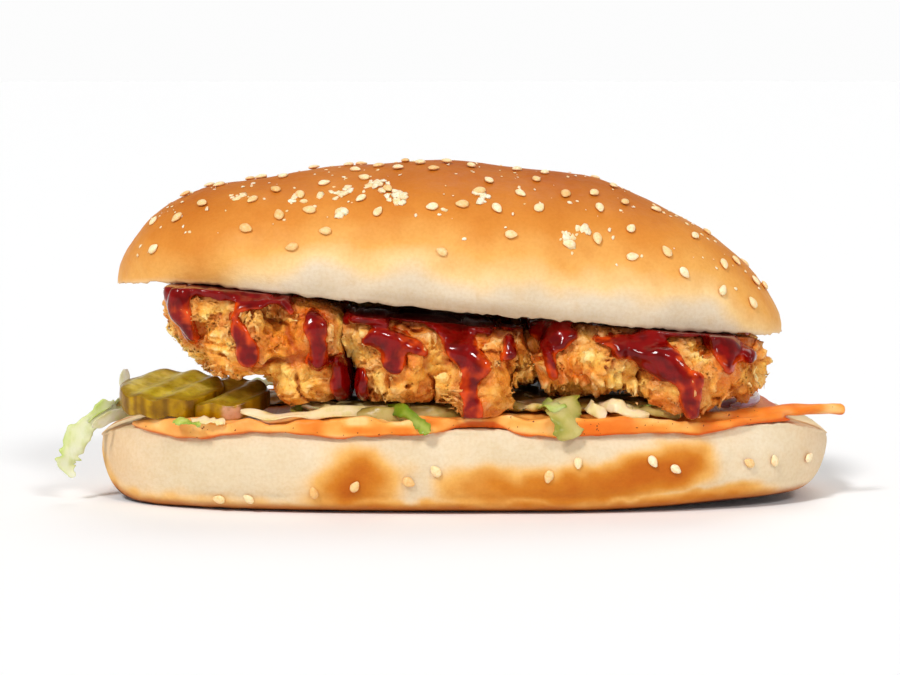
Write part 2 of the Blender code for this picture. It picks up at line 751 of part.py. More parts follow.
def box_sphere(count):
    """Points and faces of a cube's grid of count cells a side, blown up to a unit sphere."""
    index, points, faces = {}, [], []

    def corner(axis, sign, i, j):
        p = [0, 0, 0]
        p[axis], p[(axis + 1) % 3], p[(axis + 2) % 3] = sign * count, 2 * i - count, 2 * j - count
        key = tuple(p)
        if key not in index:
            index[key] = len(points)
            bent = [math.tan(c / count * math.pi / 4) for c in p]
            points.append(Vector(bent).normalized())
        return index[key]

    for axis in range(3):
        for sign in (-1, 1):
            for i in range(count):
                for j in range(count):
                    quad = [corner(axis, sign, i + a, j + b) for a, b in ((0, 0), (1, 0), (1, 1), (0, 1))]
                    faces.append(tuple(quad if sign > 0 else reversed(quad)))
    return points, faces


def chicken_shell(centre, stretch, lumps, walls):
    directions, faces = box_sphere(PIECE_GRID)
    aimed = np.array(directions) * stretch
    aimed /= np.linalg.norm(aimed, axis=1, keepdims=True)
    reach = distance_along(np.array(centre, float), aimed, lambda p: chicken_distance(p, lumps, walls))
    points = np.array(centre, float) + aimed * reach[:, None]
    return [tuple(p) for p in points], faces


# Thick glaze: runs that start on top of the chicken and hang down its face


GLAZE_RUNS = {
    "chicken_left": (
        (((-51.5, 47), (-50, 42), (-48, 36.5)), 2.0),
        (((-31, 48), (-31, 42), (-30.5, 35)), 2.6),
        (((-63.5, 50.3), (-62, 46), (-58, 40)), 2.2),
    ),
    "chicken_middle": (
        (((-19, 45.5), (-14, 42), (-12.5, 36), (-12, 33)), 2.3),
        (((2, 43), (4.5, 38), (5, 31), (5, 25)), 3.0),
        (((13.5, 41), (14.5, 37)), 2.0),
    ),
    "chicken_right": (
        (((20, 43), (21, 38), (23, 32)), 2.0),
        (((46, 40), (51, 35), (54, 29), (55, 25)), 3.0),
        (((63, 38.6), (63, 33.5)), 2.2),
    ),
}


def glaze_run(name, chicken, route, radius, side, finish):
    """A flattened tube down the chicken's front (side -1) or back (side 1), half sunk in it."""
    tree = BVHTree.FromObject(chicken, bpy.context.evaluated_depsgraph_get())
    path = [Vector((x, side * 60.0, z)) for x, z in route]
    steps = 3 * (len(path) - 1)
    rings = []
    for k in range(steps + 1):
        at = curve_point(path, k / 3)
        found = tree.ray_cast(at * MM, Vector((0, -side, 0)))
        if found[0] is None:
            continue
        here = found[0] / MM
        swell = radius * (0.75 + 0.3 * math.cos(1.9 * k) + 0.25 * (k == steps - 1))
        ring = []
        for j in range(6):
            turn = 2 * math.pi * j / 6
            ring.append(tuple(here + Vector((swell * math.cos(turn), side * 1.5 * math.sin(turn), 0))))
        rings.append(ring)
    first = Vector(np.mean(rings[0], axis=0)) + Vector((0, 0, 1.2))
    last = Vector(np.mean(rings[-1], axis=0)) - Vector((0, 0, 1.4))
    return mesh_object(name, *outward(*loft(rings, tuple(first), tuple(last))), finish)


def chicken(name, centre, stretch, lumps, walls, crust, glaze):
    piece = mesh_object(name, *chicken_shell(centre, stretch, lumps, walls), crust)
    bpy.context.view_layer.update()
    runs = []
    for k, (route, radius) in enumerate(GLAZE_RUNS[name]):
        for side in (-1, 1):
            if side > 0 and k % 2:
                continue
            runs.append(glaze_run(f"{name}_run_{k}_{side}", piece, route, radius, side, glaze))
    return fuse(piece, runs)


def build():
    clear_scene()
    crust = material("bun_crust", (0.62, 0.30, 0.08), 0.55)
    crumb = material("bun_pale", (0.86, 0.68, 0.44), 0.7)
    seed = material("sesame", (0.88, 0.68, 0.40), 0.5)
    fried = material("fried_crust", (0.72, 0.32, 0.06), 0.6)
    glaze = material("glaze", (0.22, 0.01, 0.005), 0.12)
    sauce = material("burger_sauce", (0.92, 0.42, 0.12), 0.3)
    leaf = material("lettuce", (0.62, 0.68, 0.34), 0.4)
    gherkin = material("pickle", (0.34, 0.26, 0.03), 0.3)
    onion = material("onion", (0.72, 0.55, 0.62), 0.35)

    heel = mesh_object("bun_heel", *heel_shell(), crumb)
    seeds_on(heel, heel_seed_places(), seed)
    crown = mesh_object("bun_crown", *crown_shell(), crust)
    seeds_on(crown, crown_seed_places(), seed)

    spread = mesh_object("burger_sauce", *sauce_shell(), sauce)
    tongue = ((62, -22, 22.0), (70, -21.5, 22.1), (80, -19, 22.8), (88, -15.5, 22.5), (94, -13.5, 22.1))
    ribbon = mesh_object("ribbon", *outward(*strip(tongue, 5.2, 2.5, 0.15)), sauce)
    fuse(spread, [ribbon])

    lettuce(leaf)
    pickles(gherkin)
    onion_arc("onion_outer", (54, 2, 21.8), 21.0, math.radians(-52), math.radians(25), 1.6, 2.4, onion)
    onion_arc("onion_inner", (54, 2, 21.8), 17.6, math.radians(-56), math.radians(15), 1.6, 2.2, onion)

    layers = (below_crown, above_bed)
    left = (*layers, left_of_joint, clear_of_pickle)
    middle = (*layers, right_of_joint, left_of_gap)
    right = (*layers, right_of_gap)
    chicken("chicken_left", (-43, -4, 41), (1.0, 1.3, 0.75), LEFT_LUMPS, left, fried, glaze)
    chicken("chicken_middle", (-3, -4, 36), (1.0, 1.4, 0.7), MIDDLE_LUMPS, middle, fried, glaze)
    chicken("chicken_right", (44, -4, 35), (1.2, 1.3, 0.6), RIGHT_LUMPS, right, fried, glaze)


build()
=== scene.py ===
import math
import random

import bpy
import numpy as np
from mathutils import Matrix, Vector


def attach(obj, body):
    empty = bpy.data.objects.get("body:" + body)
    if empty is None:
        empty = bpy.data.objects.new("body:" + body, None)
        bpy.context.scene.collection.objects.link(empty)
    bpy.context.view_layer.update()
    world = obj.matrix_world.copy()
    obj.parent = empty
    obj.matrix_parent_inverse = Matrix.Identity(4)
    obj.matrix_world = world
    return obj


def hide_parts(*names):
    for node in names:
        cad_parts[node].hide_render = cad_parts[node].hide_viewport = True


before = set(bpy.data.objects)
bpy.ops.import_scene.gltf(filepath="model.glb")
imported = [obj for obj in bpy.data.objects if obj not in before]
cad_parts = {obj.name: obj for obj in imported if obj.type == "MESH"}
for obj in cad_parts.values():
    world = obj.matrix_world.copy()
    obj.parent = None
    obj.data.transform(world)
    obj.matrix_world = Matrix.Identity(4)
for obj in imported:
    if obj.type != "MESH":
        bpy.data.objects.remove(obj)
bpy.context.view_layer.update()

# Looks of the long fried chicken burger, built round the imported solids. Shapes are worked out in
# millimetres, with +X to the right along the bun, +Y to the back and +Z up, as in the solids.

MM = 0.001
GAP = 0.4

# Top half of the bun
CROWN_HALF_LENGTH = 80.5
CROWN_HALF_WIDTH = 36.0
CROWN_HEIGHT = 33.2
CROWN_FLOOR = 47.5
CROWN_SLOPE = -0.0963
CROWN_DROOP_START = 55.0
CROWN_DROOP = 0.006
CROWN_SKEW = 0.075
CROWN_TUCK = 0.055
CROWN_RINGS = 220
CROWN_BAKE = (
    (0.00, (208, 192, 168)),
    (0.16, (222, 204, 178)),
    (0.28, (240, 202, 142)),
    (0.42, (234, 172, 90)),
    (0.62, (216, 138, 54)),
    (1.00, (184, 96, 8)),
)

# Bottom half of the bun
HEEL_CENTRE = 3.5
HEEL_HALF_LENGTH = 88.3
HEEL_HALF_WIDTH = 36.4
HEEL_TOP = 20.0
HEEL_DIP = 1.6
HEEL_DIP_AT = -60.0
HEEL_DIP_WIDTH = 18.0
HEEL_END_DROP = 2.4
HEEL_SHOULDER_DROP = 2.8
HEEL_SHOULDER_POWER = 30
HEEL_NOSE_HEIGHT = 11.5
HEEL_END_LIFT_POWER = 26
HEEL_RIGHT_LIFT = 2.4
HEEL_SIDE = ((0.80, 0.0), (0.91, 0.07), (0.97, 0.22), (1.0, 0.48), (0.985, 0.78), (0.945, 1.0))
HEEL_RINGS = 230
HEEL_PALE = ((0.0, (220, 201, 168)), (1.0, (230, 213, 184)))
HEEL_GOLD = ((0.0, (240, 212, 166)), (0.3, (234, 180, 96)), (0.6, (206, 127, 32)), (0.9, (188, 98, 10)))

# Sesame seeds
SEED_LENGTH = 3.3
SEED_WIDTH = 2.5
SEED_THICKNESS = 1.25
SEED_SINK = 0.22
SEED_SPACING = 5.6
CROWN_SEEDS = 90
HEEL_SEEDS = 20
LOOSE_FLAKES = 320
SEED_TINTS = ((0.0, (234, 188, 118)), (0.4, (246, 216, 160)), (1.0, (252, 234, 196)))
FLAKE_TINTS = ((0.0, (250, 214, 158)), (1.0, (255, 240, 214)))

# Burger sauce
SAUCE_THICKNESS = 2.4
SAUCE_END_THICKNESS = 1.2

# Chicken
BLEND = 4.5
CRAG_SIZE = 9.0
CRAG_HEIGHT = 2.1
FINE_CRAG_SIZE = 4.6
FINE_CRAG_HEIGHT = 1.0
CROWN_CLEARANCE = 3.0
MESH_STEP = 0.45
CRUST_TRIANGLES = 120000
GLAZE_TRIANGLES = 38000
SAUCE_TRIANGLES = 90000

# Onion strips
ONION_CENTRE = (54, 2, 21.8)
ONION_WIDTH = 1.6

# Crinkle-cut pickle
PICKLE_RADIUS = 12.2
PICKLE_CENTRE = (-66.3, -15.0, 25.9)
PICKLE_THICKNESS = 5.2
PICKLE_TILT = 9.5
PICKLE_RIDGE_PITCH = 7.2
PICKLE_RIDGE_HEIGHT = 0.65
PICKLE_RIDGE_TURN = 28.0
SECOND_PICKLE_RADIUS = 11.4
SECOND_PICKLE_CENTRE = (-54.3, -15.6, 24.75)
SECOND_PICKLE_MIDDLE = (-48.5, -15.6, 24.95)
SECOND_PICKLE_THICKNESS = 4.3
PICKLE_TURNS = 150
PICKLE_CIRCLES = 26
PICKLE_WALLS = 12
PICKLE_FLESH = ((0.0, (176, 154, 32)), (0.5, (202, 180, 58)), (1.0, (220, 200, 96)))
PICKLE_SKIN = ((0.0, (122, 84, 2)), (0.5, (158, 114, 2)), (1.0, (186, 144, 8)))

# Lettuce
LETTUCE_BED_START = -60.0
LETTUCE_BED_END = 49.0
BED_SHREDS = 70


# Numbers and smooth random fields


def ramp(value, start, end):
    t = np.clip((value - start) / (end - start), 0.0, 1.0)
    return t * t * (3.0 - 2.0 * t)


def bump(value, centre, width):
    return np.exp(-(((value - centre) / width) ** 2))


def linear(red, green, blue):
    """A colour given as 0 to 255 display values, as the linear values that shaders take."""
    c = np.array((red, green, blue), float) / 255.0
    return np.where(c <= 0.04045, c / 12.92, ((c + 0.055) / 1.055) ** 2.4)


def shades(value, stops):
    """Linear colours for an array of values, from (value, (red, green, blue)) stops."""
    places = [s[0] for s in stops]
    colours = np.array([linear(*s[1]) for s in stops])
    return np.stack([np.interp(value, places, colours[:, k]) for k in range(3)], axis=-1)


def mixed(a, b, share):
    share = np.asarray(share)[..., None]
    return a * (1.0 - share) + b * share


def layered(colours, *layers):
    """Colours with others laid over them in turn, each given as (red, green, blue) and its share."""
    for colour, share in layers:
        colours = mixed(colours, linear(*colour), share)
    return colours


LATTICE = 32
lattice_values = np.random.default_rng(7).uniform(-1.0, 1.0, LATTICE**3).astype(np.float32)
lattice_spots = np.random.default_rng(8).uniform(0.0, 1.0, (LATTICE**3, 3)).astype(np.float32)


def field(points, size, shift=0.0):
    """A smooth random value from -1 to 1 at each point, with features of about this size."""
    q = np.asarray(points, np.float32) / np.float32(size) + np.float32(shift)
    cell = np.floor(q)
    f = q - cell
    f = f * f * f * (f * (f * 6.0 - 15.0) + 10.0)
    here = cell.astype(np.int32) & (LATTICE - 1)
    there = (here + 1) & (LATTICE - 1)
    x = (here[:, 0] * LATTICE**2, there[:, 0] * LATTICE**2)
    y = (here[:, 1] * LATTICE, there[:, 1] * LATTICE)
    z = (here[:, 2], there[:, 2])
    planes = []
    for k in (0, 1):
        rows = []
        for j in (0, 1):
            low, high = lattice_values[x[0] + y[j] + z[k]], lattice_values[x[1] + y[j] + z[k]]
            rows.append(low + (high - low) * f[:, 0])
        planes.append(rows[0] + (rows[1] - rows[0]) * f[:, 1])
    return planes[0] + (planes[1] - planes[0]) * f[:, 2]


def pebbles(points, size, shift=0.0):
    """Distance to the nearest of scattered spots, one spot to a cell of this size."""
    q = np.asarray(points, np.float32) / np.float32(size) + np.float32(shift)
    base = np.floor(q).astype(np.int32)
    nearest = np.full(len(q), 9.0, np.float32)
    for k in range(27):
        cell = base + np.array((k % 3 - 1, k // 3 % 3 - 1, k // 9 - 1), np.int32)
        c = cell & (LATTICE - 1)
        spot = lattice_spots[(c[:, 0] * LATTICE + c[:, 1]) * LATTICE + c[:, 2]]
        nearest = np.minimum(nearest, ((cell + spot - q) ** 2).sum(axis=1))
    return np.sqrt(nearest)


def warped(points, size, amount, shift):
    """The points moved about by a smooth random field."""
    moved = [field(points, size, shift + 5.3 * k) for k in range(3)]
    return points + np.stack(moved, axis=1) * np.float32(amount)


# Meshes


def new_mesh(name, points, faces):
    faces = np.asarray(faces, np.int32)
    mesh = bpy.data.meshes.new(name)
    mesh.vertices.add(len(points))
    mesh.vertices.foreach_set("co", np.asarray(points, np.float32).ravel())
    mesh.loops.add(faces.size)
    mesh.loops.foreach_set("vertex_index", faces.ravel())
    mesh.polygons.add(len(faces))
    mesh.polygons.foreach_set("loop_start", np.arange(len(faces), dtype=np.int32) * faces.shape[1])
    mesh.update(calc_edges=True)
    return mesh


def fewer(points, faces, limit):
    """The same skin as at most this many triangles, which stay smallest where it bends most."""
    whole = bpy.data.objects.new("whole", new_mesh("whole", points, faces))
    bpy.context.scene.collection.objects.link(whole)
    collapse = whole.modifiers.new("collapse", "DECIMATE")
    collapse.ratio = min(1.0, limit / (len(faces) * (faces.shape[1] - 2)))
    collapse.use_collapse_triangulate = True
    mesh = whole.evaluated_get(bpy.context.evaluated_depsgraph_get()).to_mesh()
    mesh.calc_loop_triangles()
    kept = np.empty(3 * len(mesh.vertices), np.float32)
    mesh.vertices.foreach_get("co", kept)
    triangles = np.empty(3 * len(mesh.loop_triangles), np.int32)
    mesh.loop_triangles.foreach_get("vertices", triangles)
    bpy.data.objects.remove(whole)
    return kept.reshape(-1, 3), triangles.reshape(-1, 3)


def joined(parts):
    """The points, faces and tints of several pieces, as those of one."""
    start, found = 0, []
    for points, faces, tint in parts:
        found.append((points, faces + start, np.broadcast_to(tint, points.shape)))
        start += len(points)
    return [np.concatenate(column) for column in zip(*found)]


def new_piece(name, slot, finish, points, faces, tint=None, node=None, **values):
    """A riding mesh from points in millimetres. tint and the other values are kept for its material."""
    mesh = new_mesh(name, np.asarray(points, np.float32) * MM, faces)
    mesh.shade_smooth()
    if tint is not None:
        colours = np.ones((len(points), 4), np.float32)
        colours[:, :3] = tint
        mesh.attributes.new("tint", "FLOAT_COLOR", "POINT").data.foreach_set("color", colours.ravel())
    for key, value in values.items():
        made = mesh.attributes.new(key, "FLOAT", "POINT")
        made.data.foreach_set("value", np.asarray(value, np.float32))
    mesh.materials.append(finish)
    obj = bpy.data.objects.new(name, mesh)
    bpy.context.scene.collection.objects.link(obj)
    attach(obj, "root")
    if node:
        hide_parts(node)


def grid_faces(rows, columns):
    """Quads of a grid of rows by columns, whose last column joins its first."""
    i, j = np.meshgrid(np.arange(rows - 1) * columns, np.arange(columns), indexing="ij")
    n = (j + 1) % columns
    return np.stack([i + j, i + n, i + columns + n, i + columns + j], -1).reshape(-1, 4)


def bridge(start, end, count):
    """Columns of points set evenly between two columns."""
    share = np.linspace(0.0, 1.0, count + 2)[1:-1][None, :, None]
    return start[:, None] * (1.0 - share) + end[:, None] * share


def capped(rings, flip=False):
    """Points and quads of closed rings in order, with each end gathered to a point."""
    rows, columns = rings.shape[:2]
    first = np.repeat(rings[:1].mean(axis=1, keepdims=True), columns, axis=1)
    last = np.repeat(rings[-1:].mean(axis=1, keepdims=True), columns, axis=1)
    rings = np.concatenate([first, rings, last])
    faces = grid_faces(rows + 2, columns)
    return rings.reshape(-1, 3), faces[:, ::-1] if flip else faces


def surface_net(axes, values):
    """Points and quads of the surface where the values on a grid cross zero. Inside is negative."""
    shape, inside = values.shape, values < 0
    owners, spots, turned = [], [], []
    for axis in range(3):
        low = tuple(slice(0, -1) if k == axis else slice(None) for k in range(3))
        high = tuple(slice(1, None) if k == axis else slice(None) for k in range(3))
        edges = np.argwhere(inside[low] != inside[high])
        u, v = (axis + 1) % 3, (axis + 2) % 3
        for k in (u, v):
            edges = edges[(edges[:, k] > 0) & (edges[:, k] < shape[k] - 1)]
        at = tuple(edges.T)
        near, far = values[low][at], values[high][at]
        spot = np.stack([axes[k][edges[:, k]] for k in range(3)], axis=1)
        steps = axes[axis][edges[:, axis] + 1] - axes[axis][edges[:, axis]]
        spot[:, axis] += steps * near / (near - far)
        around = []
        for du, dv in ((-1, -1), (0, -1), (0, 0), (-1, 0)):
            cell = edges.copy()
            cell[:, u] += du
            cell[:, v] += dv
            around.append((cell[:, 0] * shape[1] + cell[:, 1]) * shape[2] + cell[:, 2])
        owners.append(np.stack(around, axis=1))
        spots.append(spot)
        turned.append(near >= 0)
    owners, turned = np.concatenate(owners), np.concatenate(turned)
    spots = np.repeat(np.concatenate(spots), 4, axis=0)
    _, index, counts = np.unique(owners.ravel(), return_inverse=True, return_counts=True)
    index = index.ravel()
    points = np.stack([np.bincount(index, weights=spots[:, k]) for k in range(3)], axis=1) / counts[:, None]
    quads = index.reshape(-1, 4)
    quads[turned] = quads[turned][:, ::-1]
    return points, quads


def sampled(axes, values, points):
    """Values of a grid at free points, by interpolation."""
    base, share = [], []
    for k in range(3):
        i = np.clip(np.searchsorted(axes[k], points[:, k]) - 1, 0, len(axes[k]) - 2)
        base.append(i)
        share.append((points[:, k] - axes[k][i]) / (axes[k][i + 1] - axes[k][i]))
    total = 0.0
    for corner in range(8):
        step = (corner & 1, corner >> 1 & 1, corner >> 2 & 1)
        weight = np.prod([share[k] if step[k] else 1.0 - share[k] for k in range(3)], axis=0)
        total = total + weight * values[tuple(base[k] + step[k] for k in range(3))]
    return total


def grid_points(axes):
    return np.stack(np.meshgrid(*axes, indexing="ij"), axis=-1).reshape(-1, 3).astype(np.float32)


# Materials


def link(tree, source, target):
    tree.links.new(source, target)


def noise(tree, size, detail=2.0, stretch=(1.0, 1.0, 1.0)):
    """A noise value whose features are about this many millimetres."""
    place = tree.nodes.new("ShaderNodeTexCoord")
    scale = tree.nodes.new("ShaderNodeMapping")
    scale.inputs["Scale"].default_value = [s / (size * MM) for s in stretch]
    made = tree.nodes.new("ShaderNodeTexNoise")
    made.inputs["Scale"].default_value = 1.0
    made.inputs["Detail"].default_value = detail
    link(tree, place.outputs["Object"], scale.inputs["Vector"])
    link(tree, scale.outputs["Vector"], made.inputs["Vector"])
    return made.outputs["Fac"]


def remap(tree, value, low, high, to_low=0.0, to_high=1.0):
    made = tree.nodes.new("ShaderNodeMapRange")
    made.interpolation_type = "SMOOTHSTEP"
    for key, number in (("From Min", low), ("From Max", high), ("To Min", to_low), ("To Max", to_high)):
        made.inputs[key].default_value = number
    link(tree, value, made.inputs["Value"])
    return made.outputs["Result"]


def blend_colours(tree, kind, share, first, second):
    """Two colours, each a socket or a constant, mixed by a share in one of the node's ways."""
    made = tree.nodes.new("ShaderNodeMix")
    made.data_type = "RGBA"
    made.blend_type = kind
    for key, value in (("Factor_Float", share), ("A_Color", first), ("B_Color", second)):
        socket = next(s for s in made.inputs if s.identifier == key)
        if isinstance(value, bpy.types.NodeSocket):
            link(tree, value, socket)
        else:
            socket.default_value = (*value, 1.0)
    return next(s for s in made.outputs if s.identifier == "Result_Color")


def attribute(tree, name, output="Color"):
    made = tree.nodes.new("ShaderNodeAttribute")
    made.attribute_name = name
    return made.outputs[output]


def relief(tree, shader, bumps):
    """Bumps added one on the other, each from a noise's (size, detail), its depth and its strength."""
    normal = None
    for grain, depth, strength in bumps:
        made = tree.nodes.new("ShaderNodeBump")
        made.inputs["Distance"].default_value = depth * MM
        made.inputs["Strength"].default_value = strength
        link(tree, noise(tree, *grain), made.inputs["Height"])
        if normal is not None:
            link(tree, normal, made.inputs["Normal"])
        normal = made.outputs["Normal"]
    link(tree, normal, shader.inputs["Normal"])


def new_material(name, **settings):
    """A material with constants set on its shader. A key is the socket's name with _ for a space."""
    made = bpy.data.materials.new(name)
    made.use_nodes = True
    shader = made.node_tree.nodes["Principled BSDF"]
    for key, value in settings.items():
        shader.inputs[key.replace("_", " ")].default_value = value
    return made, made.node_tree, shader


def tinted_material(name, layers, bumps, rough=None, **settings):
    """A material in the piece's own tint, with layers of noise over it.

    A layer is its way of blending, the noise's (size, detail), the values where it starts and is
    full, and its colour. rough gives the noise, its values and the roughness at each of them.
    """
    made, tree, shader = new_material(name, **settings)
    colour = attribute(tree, "tint")
    for kind, grain, low, high, other in layers:
        colour = blend_colours(tree, kind, remap(tree, noise(tree, *grain), low, high), colour, other)
    link(tree, colour, shader.inputs["Base Color"])
    if rough is not None:
        grain, *ends = rough
        link(tree, remap(tree, noise(tree, *grain), *ends), shader.inputs["Roughness"])
    relief(tree, shader, bumps)
    return made


def bread_material(name, roughness, specular):
    speckle = ("MULTIPLY", (0.8, 3.0), 0.35, 0.7, (0.96, 0.93, 0.88))
    patches = ("MULTIPLY", (7.0, 4.0), 0.3, 0.7, (0.97, 0.94, 0.89))
    wrinkles = ((1.3, 4.0, (0.5, 1.0, 1.4)), 0.16, 0.65)
    return tinted_material(
        name,
        (speckle, patches),
        (wrinkles, ((0.4, 2.0), 0.06, 0.7)),
        ((2.4, 2.0), 0.3, 0.7, roughness - 0.05, roughness + 0.08),
        Subsurface_Weight=0.08,
        Subsurface_Scale=0.0015,
        Subsurface_Radius=(1.0, 0.6, 0.3),
        Specular_IOR_Level=specular,
    )


def seed_material():
    fleck = ("MULTIPLY", (0.7, 2.0), 0.4, 0.7, (0.93, 0.84, 0.70))
    depth = {"Subsurface_Weight": 0.2, "Subsurface_Scale": 0.001}
    return tinted_material("sesame", (fleck,), (((0.5, 2.0), 0.08, 0.5),), Roughness=0.42, **depth)


def crust_material():
    """Fried crust: dry grainy gold with an oily sheen in places."""
    browned = ("MULTIPLY", (2.2, 4.0), 0.48, 0.64, (0.94, 0.78, 0.50))
    grain = ("MULTIPLY", (0.7, 3.0), 0.38, 0.62, (0.96, 0.86, 0.68))
    return tinted_material(
        "fried_crust",
        (browned, grain),
        (((1.0, 4.0), 0.5, 1.0), ((0.45, 2.0), 0.2, 1.0)),
        ((1.5, 2.0), 0.4, 0.6, 0.22, 0.55),
        Subsurface_Weight=0.06,
        Subsurface_Scale=0.001,
        Subsurface_Radius=(1.0, 0.5, 0.2),
        Specular_IOR_Level=0.3,
    )


def glaze_material():
    """Thick dark red glaze, which shows the crust's orange where it is thin. Its depth value also carries
    painted shade close under the crown.
    """
    coat = {"Coat_Weight": 0.9, "Coat_Roughness": 0.05, "Coat_IOR": 1.3}
    made, tree, shader = new_material("glaze", Roughness=0.2, Specular_IOR_Level=0.06, **coat)
    share = remap(tree, attribute(tree, "depth", "Fac"), 0.4, 1.9)
    thin = blend_colours(tree, "MIX", share, tuple(linear(222, 74, 8)), tuple(linear(128, 5, 2)))
    streaks = remap(tree, noise(tree, 3.0, 2.0), 0.35, 0.7)
    link(tree, blend_colours(tree, "MULTIPLY", streaks, thin, (0.5, 0.3, 0.3)), shader.inputs["Base Color"])
    relief(tree, shader, (((2.6, 1.0), 0.25, 0.4),))
    return made


def sauce_material():
    streaks = ("MULTIPLY", (3.0, 3.0), 0.35, 0.7, (0.97, 0.84, 0.68))
    specks = ("MIX", (0.8, 1.0), 0.72, 0.76, tuple(linear(120, 50, 18)))
    return tinted_material(
        "burger_sauce",
        (streaks, specks),
        (((1.8, 2.0), 0.2, 0.4),),
        Roughness=0.42,
        Subsurface_Weight=0.15,
        Subsurface_Scale=0.0015,
        Specular_IOR_Level=0.14,
    )


def leaf_material(name, gloss, through=0.35):
    """Moist leaf that lets some light through."""
    veins = ("MULTIPLY", (1.6, 3.0, (1.0, 1.0, 0.5)), 0.45, 0.7, (0.88, 0.90, 0.72))
    return tinted_material(
        name,
        (veins,),
        (((1.3, 3.0), 0.2, 0.6),),
        Roughness=gloss,
        Subsurface_Weight=through,
        Subsurface_Scale=0.003,
        Subsurface_Radius=(0.8, 1.0, 0.5),
        Specular_IOR_Level=0.3,
    )


def pickle_material():
    mottle = ("MULTIPLY", (2.2, 4.0), 0.40, 0.68, (0.76, 0.70, 0.42))
    specks = ("MIX", (0.6, 2.0), 0.70, 0.78, tuple(linear(70, 44, 10)))
    return tinted_material(
        "pickle",
        (mottle, specks),
        (((2.4, 3.0), 0.5, 0.7),),
        Roughness=0.3,
        Subsurface_Weight=0.2,
        Subsurface_Scale=0.002,
        Subsurface_Radius=(1.0, 0.8, 0.1),
        Specular_IOR_Level=0.15,
        Coat_Weight=0.12,
        Coat_Roughness=0.08,
    )


# Top half of the bun


def crown_floor(x):
    droop = CROWN_DROOP * np.maximum(0.0, -CROWN_DROOP_START - x) ** 2
    return CROWN_FLOOR + CROWN_SLOPE * x - droop


def crown_surface(x, angle):
    """Points of the crust. The angle runs from the front rim, over the top, to the back rim."""
    x, angle = np.broadcast_arrays(np.asarray(x, float), np.asarray(angle, float))
    share = np.minimum(1.0, np.abs(x) / CROWN_HALF_LENGTH)
    plan = (1.0 - share**2.5) ** (1 / 2.3)
    rise = np.sqrt(1.0 - share**2) * (1.0 + CROWN_SKEW * np.sin(math.pi * x / CROWN_HALF_LENGTH))
    across, up = np.cos(angle), np.maximum(0.0, np.sin(angle))
    y = -np.sign(across) * np.abs(across) ** 0.88 * CROWN_HALF_WIDTH * plan
    y = y * (1.0 - CROWN_TUCK * (1.0 - up) ** 4)
    swell = 1.0 + 0.012 * np.sin(0.11 * x + 2.0 * angle) + 0.01 * np.sin(0.19 * x - 3.0 * angle)
    return np.stack([x, y * swell, crown_floor(x) + CROWN_HEIGHT * rise * up**0.92 * swell], axis=-1)


def crown_colours(points, up):
    """Cream near the cut, through gold, to brown on top, and baked lower down at both ends, with painted
    shade along the front rim in the middle, where it turns in.
    """
    x, y = points[:, 0], points[:, 1]
    ends = 0.40 * ramp(-x, 26.0, 66.0) + 0.34 * ramp(x, 60.0, 79.0)
    blotches = 0.05 * field(points, 11.0) + 0.03 * field(points, 4.0, 2.0)
    bake = up + ends * (1.0 - 0.3 * up) + blotches + 0.03 * np.sin(0.3 * x + 0.5)
    # Painted shade: a grey-brown band low on the front rim in the middle, where the crust turns in.
    rolled = bump(x, 8.0, 26.0) * (1.0 - ramp(up, 0.01, 0.13)) * (y < 0)
    colours = layered(shades(bake, CROWN_BAKE), ((164, 134, 104), 0.75 * rolled))
    bruised = 0.5 * ramp(field(points, 3.2, 6.0), 0.35, 0.8)
    return mixed(colours, colours * np.array((0.93, 0.84, 0.72)), bruised)


def crown(finish):
    """The crust and the cut face under it, as one closed skin."""
    x = CROWN_HALF_LENGTH * np.sin(np.linspace(-math.pi / 2, math.pi / 2, CROWN_RINGS + 2)[1:-1])
    arc = np.linspace(0.0, math.pi, 144)
    dome = crown_surface(x[:, None], arc[None])
    rings = np.concatenate([dome, bridge(dome[:, -1], dome[:, 0], 14)], axis=1)
    around = rings.shape[1]
    up = np.tile(np.pad(np.sin(arc), (0, around - len(arc)), constant_values=-1.0), len(x))
    crust = up > -0.5
    flat = rings.reshape(-1, 3)
    flat[:, 2] += bump(up, 0.0, 0.05) * crust * (0.35 * field(flat, 1.1) + 0.25 * field(flat, 3.0, 4.0))
    soft = 0.22 * field(flat, 7.0, 1.0) + 0.07 * field(flat, 2.0, 3.0)
    outward = flat - np.stack([flat[:, 0] * 0.85, flat[:, 1] * 0.0, crown_floor(flat[:, 0]) + 4.0], axis=1)
    outward /= np.linalg.norm(outward, axis=1, keepdims=True)
    flat = flat + outward * (crust * (soft - 0.25))[:, None]
    points, faces = capped(flat.reshape(rings.shape), flip=True)
    crust = np.pad(crust, around, constant_values=True)
    height = (points[:, 2] - crown_floor(points[:, 0])) / CROWN_HEIGHT
    tint = crown_colours(points, np.clip(height, 0.0, 1.2))
    tint = layered(tint, ((232, 205, 170), 0.5 * bump(np.clip(height, 0.0, 1.0), 0.0, 0.02) * crust))
    crumb = mixed(linear(238, 214, 170), linear(196, 130, 70), ramp(field(points, 4.0), -0.2, 0.7))
    tint = np.where(crust[:, None], tint, crumb)
    new_piece("bun_crown_crust", "bun_crust", finish, points, faces, tint, "bun_crown")


# Bottom half of the bun


def heel_share(x):
    return np.minimum(1.0, np.abs(x - HEEL_CENTRE) / HEEL_HALF_LENGTH)


def heel_plan(x):
    return (1.0 - heel_share(x) ** 2.8) ** (1 / 2.2)


def heel_top(x):
    share = heel_share(x)
    end = HEEL_END_DROP * ramp(share, 0.82, 1.0) + HEEL_SHOULDER_DROP * share**HEEL_SHOULDER_POWER
    return HEEL_TOP - HEEL_DIP * bump(x, HEEL_DIP_AT, HEEL_DIP_WIDTH) - end


def heel_bottom(x):
    return HEEL_NOSE_HEIGHT * heel_share(x) ** HEEL_END_LIFT_POWER + HEEL_RIGHT_LIFT * ramp(x, 28.0, 84.0)


